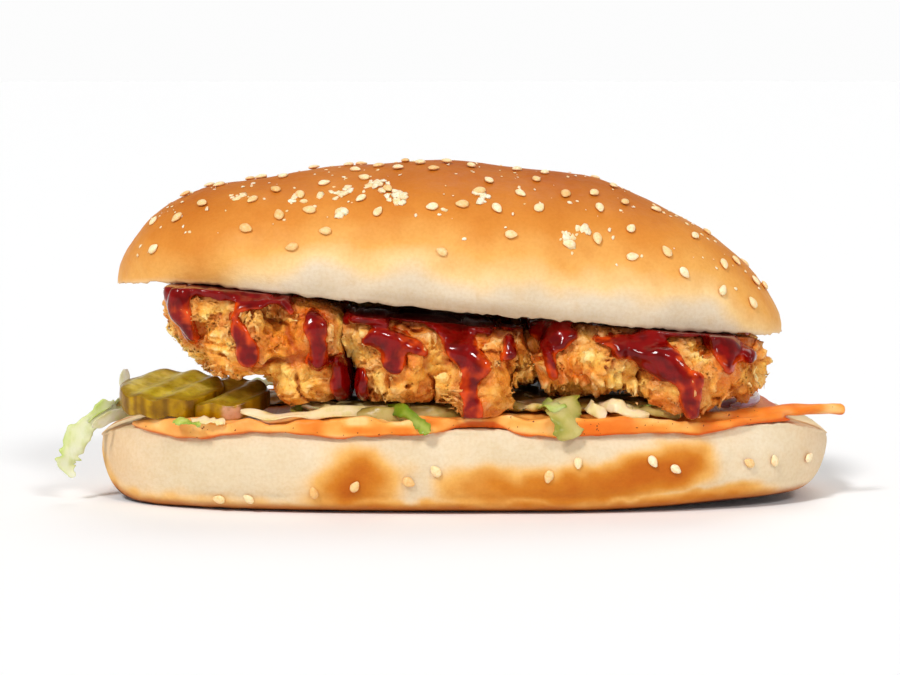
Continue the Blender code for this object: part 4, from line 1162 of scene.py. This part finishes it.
def pickle(part, centre, thickness, reach, finish, seed):
    """A slice as rings from the middle of its top, over the side, to the middle of its underside."""
    angle = np.linspace(0.0, 2 * math.pi, PICKLE_TURNS, endpoint=False)
    rim = reach(angle) * (1.0 + 0.012 * np.sin(5 * angle + seed) + 0.008 * np.sin(9 * angle))
    flat = np.linspace(0.0, 1.0, PICKLE_CIRCLES + 1)[1:]
    wall = np.linspace(0.0, 1.0, PICKLE_WALLS + 1)[1:-1]
    out = np.concatenate([flat, 1.0 + 0.25 / PICKLE_RADIUS * np.sin(math.pi * wall), flat[::-1]])
    height = np.concatenate([0 * flat + 0.5, 0.5 - wall, 0 * flat - 0.5]) * thickness
    sort = np.concatenate([flat, 2.0 + wall, flat[::-1]])
    x, y = out[:, None] * rim * np.cos(angle), out[:, None] * rim * np.sin(angle)
    z = height[:, None] + ridges(x, y)
    edge = np.where(sort <= 1.0, 1.0 - np.minimum(1.0, (1.0 - sort) * PICKLE_CIRCLES / 1.5), 0.0)
    z -= np.sign(z) * (0.35 * edge)[:, None]
    points, faces = capped(np.stack([x, y, z], -1))
    sort = np.repeat(np.pad(sort, 1), PICKLE_TURNS)
    points[:, 2] += 0.18 * field(points, 3.0, seed)
    # Painted highlight: the flesh is lightened along the ridge crests.
    crest = ramp(ridges(points[:, 0], points[:, 1]), 0.1, PICKLE_RIDGE_HEIGHT)
    flesh = layered(
        shades(0.5 + 0.6 * field(points, 3.5, seed + 2.0), PICKLE_FLESH),
        ((216, 204, 128), 0.15 * crest),
        ((150, 118, 24), ramp(sort, 0.72, 0.98)),
    )
    fluted = 0.5 + 0.6 * field(points * np.array((1.6, 1.6, 0.3)), 2.2, seed)
    side = sort > 1.5
    tint = np.where(side[:, None], shades(fluted, PICKLE_SKIN), flesh)
    points = points @ np.array(Matrix.Rotation(math.radians(PICKLE_TILT), 3, "X")).T + np.array(centre)
    if part == "right":
        x, y, z = points.T
        rosy = bump(x, -51.2, 2.6) * bump(z, 22.6, 2.2) * side * (y < -18)
        tint = layered(
            tint,
            ((222, 170, 140), 0.85 * ramp(rosy + 0.2 * field(points, 1.2), 0.3, 0.6)),
            # Painted shade: the right end, which lies under the left chicken, is darkened.
            ((58, 34, 8), 0.7 * ramp(x, -48.0, -43.5)),
        )
    new_piece(f"pickle_slice_{part}", "pickle", finish, points, faces, tint, f"pickle_{part}")


# Chicken: the solids' lumps and crags, with flakes, nodules and folds of crust on them, and glaze


LEFT_LUMPS = (
    (-46, -18, 44, 17, 16, 11),
    (-44, 12, 44, 18, 20, 11),
    (-55, -22, 46, 9, 11, 9),
    (-56, 10, 46, 9, 16, 8),
    (-33, -22, 41, 11, 12, 8),
    (-33, 8, 40, 11, 22, 10),
    (-33, -20, 31, 9, 11, 7.5),
    (-33, 14, 31, 9, 16, 7.5),
    (-59, -24, 49, 6, 9, 6),
    (-31, 14, 42, 10, 14, 10),
    (-49, -24, 37.6, 8, 9, 6.4),
)
MIDDLE_LUMPS = (
    (-8, -18, 36, 15, 16, 10),
    (-4, 12, 37, 18, 20, 11),
    (10, -20, 36, 11, 13, 9),
    (-18, -20, 42, 8, 12, 6),
    (-10, -24, 32, 11, 10, 7),
    (8, -29.5, 29, 6.5, 7.5, 9),
    (14, 8, 34, 11, 22, 8),
    (-14, 20, 33, 10, 13, 8),
    (-19, 16, 43, 10, 12, 8),
    (14, 17, 38, 9, 13, 9),
    (12, 14, 31, 9, 14, 6.5),
)
RIGHT_LUMPS = (
    (33, -17, 36, 16, 16, 9),
    (36, 12, 36, 18, 20, 9),
    (54, -19, 34, 13, 14, 9),
    (55, 10, 35, 15, 20, 9),
    (66, -14, 33, 8, 13, 7),
    (55, -27, 29, 8, 8, 7),
    (24, -16, 33, 8, 14, 5.5),
    (68, 8, 33, 7, 13, 6),
    (24, 17, 37, 9, 14, 9),
    (26, 14, 31, 8, 14, 6.5),
)

# Runs of glaze down the front, each a path of (x, z, radius)
LEFT_GLAZE = (
    ((-49.4, 45.6, 1.0), (-48.6, 42.6, 2.3), (-47.0, 38.2, 2.7), (-46.6, 37.0, 2.5)),
    ((-31.6, 46.2, 1.8), (-30.8, 43.6, 3.0), (-30.2, 38.6, 2.4), (-30.4, 35.6, 3.1)),
    ((-49.4, 46.4, 1.0), (-47.6, 49.4, 1.5), (-43.0, 50.2, 1.6), (-38.4, 49.4, 1.4), (-36.4, 47.4, 0.9)),
    ((-62.6, 52.0, 3.8), (-61.8, 46.5, 2.8), (-59.4, 41.0, 1.5)),
    ((-58.0, 52.5, 2.2), (-53.0, 51.8, 2.4), (-49.0, 51.0, 1.5)),
    ((-25.4, 35.2, 2.0), (-24.2, 30.0, 3.4), (-24.4, 26.6, 2.4)),
)
MIDDLE_GLAZE = (
    ((-24.0, 45.4, 1.5), (-19.0, 46.0, 2.0), (-14.6, 44.2, 1.4)),
    ((-19.4, 40.4, 1.8), (-16.6, 41.4, 2.5), (-12.4, 39.8, 3.0), (-12.8, 36.2, 2.7), (-12.4, 34.2, 1.9)),
    ((-12.0, 40.8, 2.4), (-7.6, 39.4, 1.9), (-5.6, 38.0, 1.2)),
    ((-1.6, 42.6, 2), (2.6, 39.2, 4.2), (5.4, 34.6, 3.2), (4.6, 29, 2.2), (5, 25.6, 2), (5, 22.6, 2.7)),
    ((-4.0, 44.4, 1.4), (4.0, 43.8, 2.0), (9.0, 42.0, 1.2)),
    ((13.4, 40.8, 1.3), (13.8, 37.6, 2.1)),
    ((-20.6, 33.0, 2.0), (-20.8, 27.4, 2.4)),
)
RIGHT_GLAZE = (
    ((19.8, 43.0, 2.4), (24.5, 41.2, 3.4), (28.4, 41.4, 1.8)),
    ((22.5, 39.5, 2.0), (23.6, 35.5, 1.3), (24.0, 32.2, 1.9)),
    ((34.0, 40.6, 1.6), (40.0, 39.6, 2.2)),
    ((40, 39, 2.6), (46, 38.4, 3.8), (50.6, 34.6, 4.2), (55, 31.6, 3), (55.4, 26.6, 2.2), (55.8, 23.8, 2)),
    ((45.0, 34.4, 1.6), (48.6, 32.0, 1.8)),
    ((61.5, 40.2, 2.2), (64.6, 37.4, 2.8), (64.6, 34.0, 1.7)),
    ((66.0, 38.2, 1.8), (69.8, 36.4, 1.6)),
)

# Hollows between the lobes, as ellipsoids
LEFT_HOLLOWS = ((-40.5, -33.5, 46.2, 3.6, 5.0, 2.8), (-23.5, -33.0, 32.0, 3.6, 7.0, 9.0))
MIDDLE_HOLLOWS = ((-24.0, -32.0, 33.0, 3.6, 7.0, 9.0), (17.0, -30.0, 33.0, 3.0, 6.0, 5.0))
RIGHT_HOLLOWS = ((59.6, -30.0, 40.0, 2.6, 7.0, 5.0), (33.0, -32.0, 28.5, 4.0, 5.0, 2.4))


def ellipsoid_distance(points, lump):
    centre, radii = np.array(lump[:3], np.float32), np.array(lump[3:], np.float32)
    scaled = (points - centre) / radii
    reach = np.sqrt((scaled**2).sum(axis=1))
    slope = np.sqrt(((scaled / radii) ** 2).sum(axis=1)) + 1e-6
    return reach * (reach - 1.0) / slope


def lump_distance(points, lumps, hollows):
    total = ellipsoid_distance(points, lumps[0])
    for lump in lumps[1:]:
        total = smooth_min(total, ellipsoid_distance(points, lump), BLEND)
    for hollow in hollows:
        total = -smooth_min(-total, ellipsoid_distance(points, hollow), 1.5)
    return total


def lettuce_roof(x):
    inside = ramp(x, -41.0, -33.0) * (1.0 - ramp(x, LETTUCE_BED_END - 5, LETTUCE_BED_END + 3))
    return sauce_roof(x) + GAP + 1.2 + 1.4 * inside


def layer_walls(points):
    """Positive where a piece would enter the bun above it or the lettuce and sauce below it."""
    x, y, z = points.T
    along = ramp(x, -34.0, -20.0) * (1.0 - ramp(x, 14.0, 26.0))
    clearance = CROWN_CLEARANCE * along * (1.0 - ramp(y, -4.0, 14.0))
    above = z - (crown_floor(x) - 0.35 - clearance)
    inside = ramp(y, -33.0, -30.0)
    spread = sauce_roof(x) + GAP
    below = spread + (lettuce_roof(x) + 0.2 - spread) * inside - z
    return above, below


def joint_wave(points):
    """How the joints between the pieces wander, so that no one sees straight through them."""
    return 2.2 * field(points * np.array((0.0, 1.0, 1.0), np.float32), 6.5, 2.0)


def left_walls(points):
    x, y, z = points.T
    joint = x - (-22.2 - (z - 28.0) * 0.21) - joint_wave(points)
    top = PICKLE_CENTRE[2] + PICKLE_THICKNESS / 2 + PICKLE_RIDGE_HEIGHT + 0.4
    over = top + math.tan(math.radians(PICKLE_TILT)) * (y - PICKLE_CENTRE[1]) - z
    return np.maximum(joint, np.minimum(over, -40.4 - x))


def middle_walls(points):
    x, z, wave = points[:, 0], points[:, 2], joint_wave(points)
    return np.maximum((-22.0 - (z - 28.0) * 0.21) - x + wave, x - (15.8 + (44.0 - z) * 0.4) - wave)


def right_walls(points):
    return (16.0 + (44.0 - points[:, 2]) * 0.4) - points[:, 0] + joint_wave(points)


def caps(points, size, shift):
    """Rounded bumps packed side by side, from 0 between them to 1 on top."""
    return np.sqrt(np.clip(1.0 - (pebbles(points, size, shift) / 0.8) ** 2, 0.0, 1.0))


def scales(points, size, shift):
    """Overlapping flakes: each rises slowly and ends in a sharp edge, from 0 to 1."""
    level = field(warped(points, size * 0.55, size * 0.3, shift), size, shift + 3.0) * 2.6
    part = level - np.floor(level)
    return part**1.5 * (1.0 - ramp(part, 0.9, 1.0))


def crust_detail(points, seed):
    """Height of the fine crust over the smooth lumps: nodules, grains and flakes, from about -1.5 to 2."""
    where = ramp(field(points, 8.0, seed + 1.0), -0.3, 0.3)
    nodules = caps(warped(points, 4.0, 1.3, seed), 3.3, seed) - 0.55
    grains = caps(warped(points, 1.7, 0.4, seed + 2.0), 1.45, seed + 4.0) - 0.55
    flakes = scales(points, 6.0, seed + 7.0) - 0.35
    sheets = scales(points, 11.0, seed + 15.0) - 0.4
    crease = np.exp(-((field(warped(points, 5.0, 2.0, seed + 17.0), 10.0, seed + 19.0) / 0.07) ** 2))
    curls = scales(points * np.array((1.0, 1.0, 1.6), np.float32), 7.5, seed + 23.0) - 0.35
    fine = 1.1 * nodules + (0.35 + 0.45 * where) * grains + (1.6 - 0.9 * where) * flakes
    return fine + 1.3 * sheets + 1.3 * curls - 1.9 * crease - 0.6


def run_distance(x, z, runs):
    """Signed distance in the front view to the runs of glaze, negative inside."""
    total = np.full(x.shape, 30.0)
    for run in runs:
        for (ax, az, ar), (bx, bz, br) in zip(run[:-1], run[1:]):
            dx, dz = bx - ax, bz - az
            t = np.clip(((x - ax) * dx + (z - az) * dz) / (dx * dx + dz * dz), 0.0, 1.0)
            reach = np.hypot(x - ax - t * dx, z - az - t * dz) - (ar + (br - ar) * t)
            total = smooth_min(total, reach, 1.2)
    return total


def crust_colours(points, height, seed):
    """Gold with pale raised edges and darker brown hollows, and patches that fried darker. The pale edges are
    partly painted highlight, the hollows partly painted shade, and the lower parts get painted shade.
    """
    hue = 0.5 + 0.7 * field(points, 8.0, seed + 5.0)
    # Raised parts paler: partly the crust's own pale flakes, partly painted highlight.
    pale = ramp(height + 0.5 * field(points, 1.3, seed), -0.4, 1.5)
    # Hollows darker brown: partly browning, partly painted shade.
    hollow = 1.0 - ramp(height + 0.5 * field(points, 1.6, seed + 9.0), -2.7, -0.7)
    fried = ramp(field(points, 4.5, seed + 13.0), 0.15, 0.5)
    # Painted shade: the lower parts of each piece are darker brown.
    under = 1.0 - ramp(points[:, 2] + 1.5 * field(points, 5.0, seed), 25.0, 33.0)
    return layered(
        shades(hue, ((0.0, (242, 150, 46)), (0.5, (253, 190, 82)), (1.0, (255, 216, 118)))),
        ((255, 236, 172), 0.85 * pale),
        ((160, 52, 0), 0.85 * hollow),
        ((214, 104, 24), 0.5 * fried * (1.0 - 0.7 * pale)),
        ((196, 88, 18), 0.45 * under),
    )


def glaze_distance(axes, smooth, above, below, runs, seed):
    """Signed distance to the glaze: the runs on the front and on the back, and a coat on top."""
    x, z = np.meshgrid(axes[0], axes[2], indexing="ij")
    flat = np.stack([x.ravel(), 0 * x.ravel(), z.ravel()], 1)
    ragged = (0.9 * field(flat, 5.0, seed)).reshape(x.shape)
    patchy = (2.0 * field(flat, 8.0, seed + 6.0)).reshape(x.shape)
    front = run_distance(x, z, runs) + ragged
    back = run_distance(2 * np.mean(axes[0]) - x, z, runs) - ragged
    facing = ramp(axes[1], -4.0, 4.0)[None, :, None]
    away = front[:, None, :] * (1.0 - facing) + back[:, None, :] * facing
    away = smooth_min(away, -above + 0.4 + patchy[:, None, :], 1.5)
    inside = np.clip(-away / 3.4, 0.0, 1.0)
    waves = (0.35 * field(flat, 4.2, seed + 3.0)).reshape(x.shape)[:, None, :]
    thinner = 1.0 - 0.6 * ramp(-axes[1], 34.5, 37.5)[None, :, None]
    thick = (2.3 + waves) * thinner * np.sqrt(inside * (2.0 - inside))
    thick = thick - 1.4 * (1.0 - ramp(inside, 0.0, 0.08))
    values = np.maximum(smooth - thick, np.maximum(above, below + 0.1))
    return np.maximum(values, away - 0.4), away


def chicken(node, box, lumps, hollows, walls, runs, seed, crust, glaze):
    """The crust and the glaze of one piece, both cut from one grid over its box."""
    low, high = box
    deep = np.arange(low[1], high[1], MESH_STEP)
    spread = np.concatenate([deep[deep < -6.0], np.arange(-6.0, high[1], MESH_STEP * 1.35)])
    axes = (np.arange(low[0], high[0], MESH_STEP), spread, np.arange(low[2], high[2], MESH_STEP))
    parts = []
    for part in np.array_split(grid_points(axes), 12):
        lump = lump_distance(part, lumps, hollows) - CRAG_HEIGHT * np.abs(field(part, CRAG_SIZE))
        lump = lump - FINE_CRAG_HEIGHT * field(part, FINE_CRAG_SIZE, 3.7)
        close = (lump > -2.6) & (lump < 3.4)
        fine = np.zeros(len(part), np.float32)
        fine[close] = crust_detail(part[close], seed)
        top, bottom = layer_walls(part)
        parts.append((lump, fine, top, np.maximum(bottom, walls(part))))
    shape = [len(a) for a in axes]
    smooth, detail, above, below = (np.concatenate(values).reshape(shape) for values in zip(*parts))

    crust_values = np.maximum(smooth - detail, np.maximum(above + 0.5, below))
    glaze_values, away = glaze_distance(axes, smooth, above, below, runs, seed)
    points, faces = fewer(*surface_net(axes, crust_values), CRUST_TRIANGLES)
    near = sampled(axes, away, points) + 1.6 * field(points, 3.5, seed + 27.0)
    # Painted shade: crust close under the crown is darkened to red-brown.
    hidden = ramp(sampled(axes, above, points) + 0.8 * field(points, 3.0, seed), -3.4, -0.8)
    tint = layered(
        crust_colours(points, sampled(axes, detail, points), seed),
        ((200, 76, 12), 0.45 * (1.0 - ramp(near, 0.3, 2.6))),
        ((124, 34, 8), 0.75 * hidden),
    )
    new_piece(node + "_crust", "fried_crust", crust, points, faces, tint, node)

    points, faces = surface_net(axes, glaze_values)
    shown = (sampled(axes, crust_values, points) > -0.5)[faces].any(axis=1)
    used, index = np.unique(faces[shown], return_inverse=True)
    points, faces = fewer(points[used], index.reshape(-1, 4), GLAZE_TRIANGLES)
    depth = 0.5 * sampled(axes, crust_values, points) - 0.4 * np.maximum(-2.6, sampled(axes, away, points))
    # Painted shade: the glaze is made deeper red close under the crown. It is also made deeper near the joint
    # at x = -23.
    depth += 1.3 * ramp(sampled(axes, above, points), -3.5, -0.8) + 1.2 * bump(points[:, 0], -23.0, 4.5)
    new_piece(node + "_glaze", "fried_crust", glaze, points, faces, depth=depth)


# Stage, light and camera


def stage():
    """A plain pale floor."""
    made, _, shader = new_material("floor", Roughness=0.9)
    shader.inputs["Base Color"].default_value = (0.93, 0.93, 0.93, 1.0)
    mesh = bpy.data.meshes.new("floor")
    mesh.from_pydata([(-40, -40, 0), (40, -40, 0), (40, 40, 0), (-40, 40, 0)], [], [(0, 1, 2, 3)])
    mesh.materials.append(made)
    floor = bpy.data.objects.new("floor", mesh)
    bpy.context.scene.collection.objects.link(floor)


def sun(name, azimuth, elevation, power, spread, colour=(1.0, 1.0, 1.0)):
    """A distant light. An azimuth of 0 is at the front, and it turns towards the right."""
    data = bpy.data.lights.new(name, "SUN")
    data.energy = power
    data.angle = math.radians(spread)
    data.color = colour
    turn, lift = math.radians(azimuth), math.radians(elevation)
    towards = Vector((math.sin(turn) * math.cos(lift), -math.cos(turn) * math.cos(lift), math.sin(lift)))
    light = bpy.data.objects.new(name, data)
    light.rotation_euler = towards.to_track_quat("Z", "Y").to_euler()
    bpy.context.scene.collection.objects.link(light)


def lights():
    """Three large soft lights, in a room that is white low down and greyer above."""
    world = bpy.data.worlds.new("studio")
    world.use_nodes = True
    tree = world.node_tree
    direction = tree.nodes.new("ShaderNodeTexCoord")
    parts = tree.nodes.new("ShaderNodeSeparateXYZ")
    link(tree, direction.outputs["Generated"], parts.inputs["Vector"])
    back = tree.nodes["Background"]
    back.inputs["Color"].default_value = (1.0, 1.0, 1.0, 1.0)
    link(tree, remap(tree, parts.outputs["Z"], 0.13, 0.26, 0.98, 0.32), back.inputs["Strength"])
    bpy.context.scene.world = world
    sun("key", -34.0, 46.0, 1.85, 11.0)
    sun("fill", 32.0, 38.0, 0.85, 11.0)
    sun("back", 165.0, 60.0, 0.6, 30.0)


def camera():
    data = bpy.data.cameras.new("camera")
    data.lens, data.sensor_width = 100.0, 36.0
    made = bpy.data.objects.new("camera", data)
    tilt, distance = math.radians(6.0), 0.588
    target = Vector((0.0, -0.020, 0.0399))
    made.location = target + Vector((0.0, -math.cos(tilt), math.sin(tilt))) * distance
    made.rotation_euler = (target - made.location).to_track_quat("-Z", "Y").to_euler()
    bpy.context.scene.collection.objects.link(made)
    bpy.context.scene.camera = made


def dress_bun():
    sesame = seed_material()
    crown(bread_material("bun_crust", 0.5, 0.13))
    heel(bread_material("bun_pale", 0.6, 0.2))
    seeds("bun_crown_seeds", "bun_crust", crown_seed_places(), sesame)
    flakes(sesame)
    seeds("bun_heel_seeds", "bun_pale", heel_seed_places(), sesame)


def first_pickle_reach(angle):
    return np.full(angle.shape, PICKLE_RADIUS)


def dress_filling():
    sauce(sauce_material())
    lettuce(leaf_material("lettuce", 0.3))
    purple, gherkin = leaf_material("onion", 0.22, 0.4), pickle_material()
    onion("outer", 21.0, -52, 25, 2.4, purple)
    onion("inner", 17.6, -56, 15, 2.2, purple)
    pickle("left", PICKLE_CENTRE, PICKLE_THICKNESS, first_pickle_reach, gherkin, 1.0)
    pickle("right", SECOND_PICKLE_MIDDLE, SECOND_PICKLE_THICKNESS, second_pickle_reach, gherkin, 2.0)


def dress_chicken():
    crust, glaze = crust_material(), glaze_material()
    left = ((-70, -40, 22), (-20, 36.5, 56))
    middle = ((-28, -40, 19.5), (26, 38, 51))
    right = ((15, -40, 19.5), (79, 36.5, 47.5))
    for name, box, lumps, hollows, walls, runs, seed in (
        ("left", left, LEFT_LUMPS, LEFT_HOLLOWS, left_walls, LEFT_GLAZE, 1.0),
        ("middle", middle, MIDDLE_LUMPS, MIDDLE_HOLLOWS, middle_walls, MIDDLE_GLAZE, 4.0),
        ("right", right, RIGHT_LUMPS, RIGHT_HOLLOWS, right_walls, RIGHT_GLAZE, 8.0),
    ):
        chicken("chicken_" + name, box, lumps, hollows, walls, runs, seed, crust, glaze)


bpy.context.scene.view_settings.view_transform = "Standard"
stage()
lights()
camera()
dress_bun()
dress_filling()
dress_chicken()
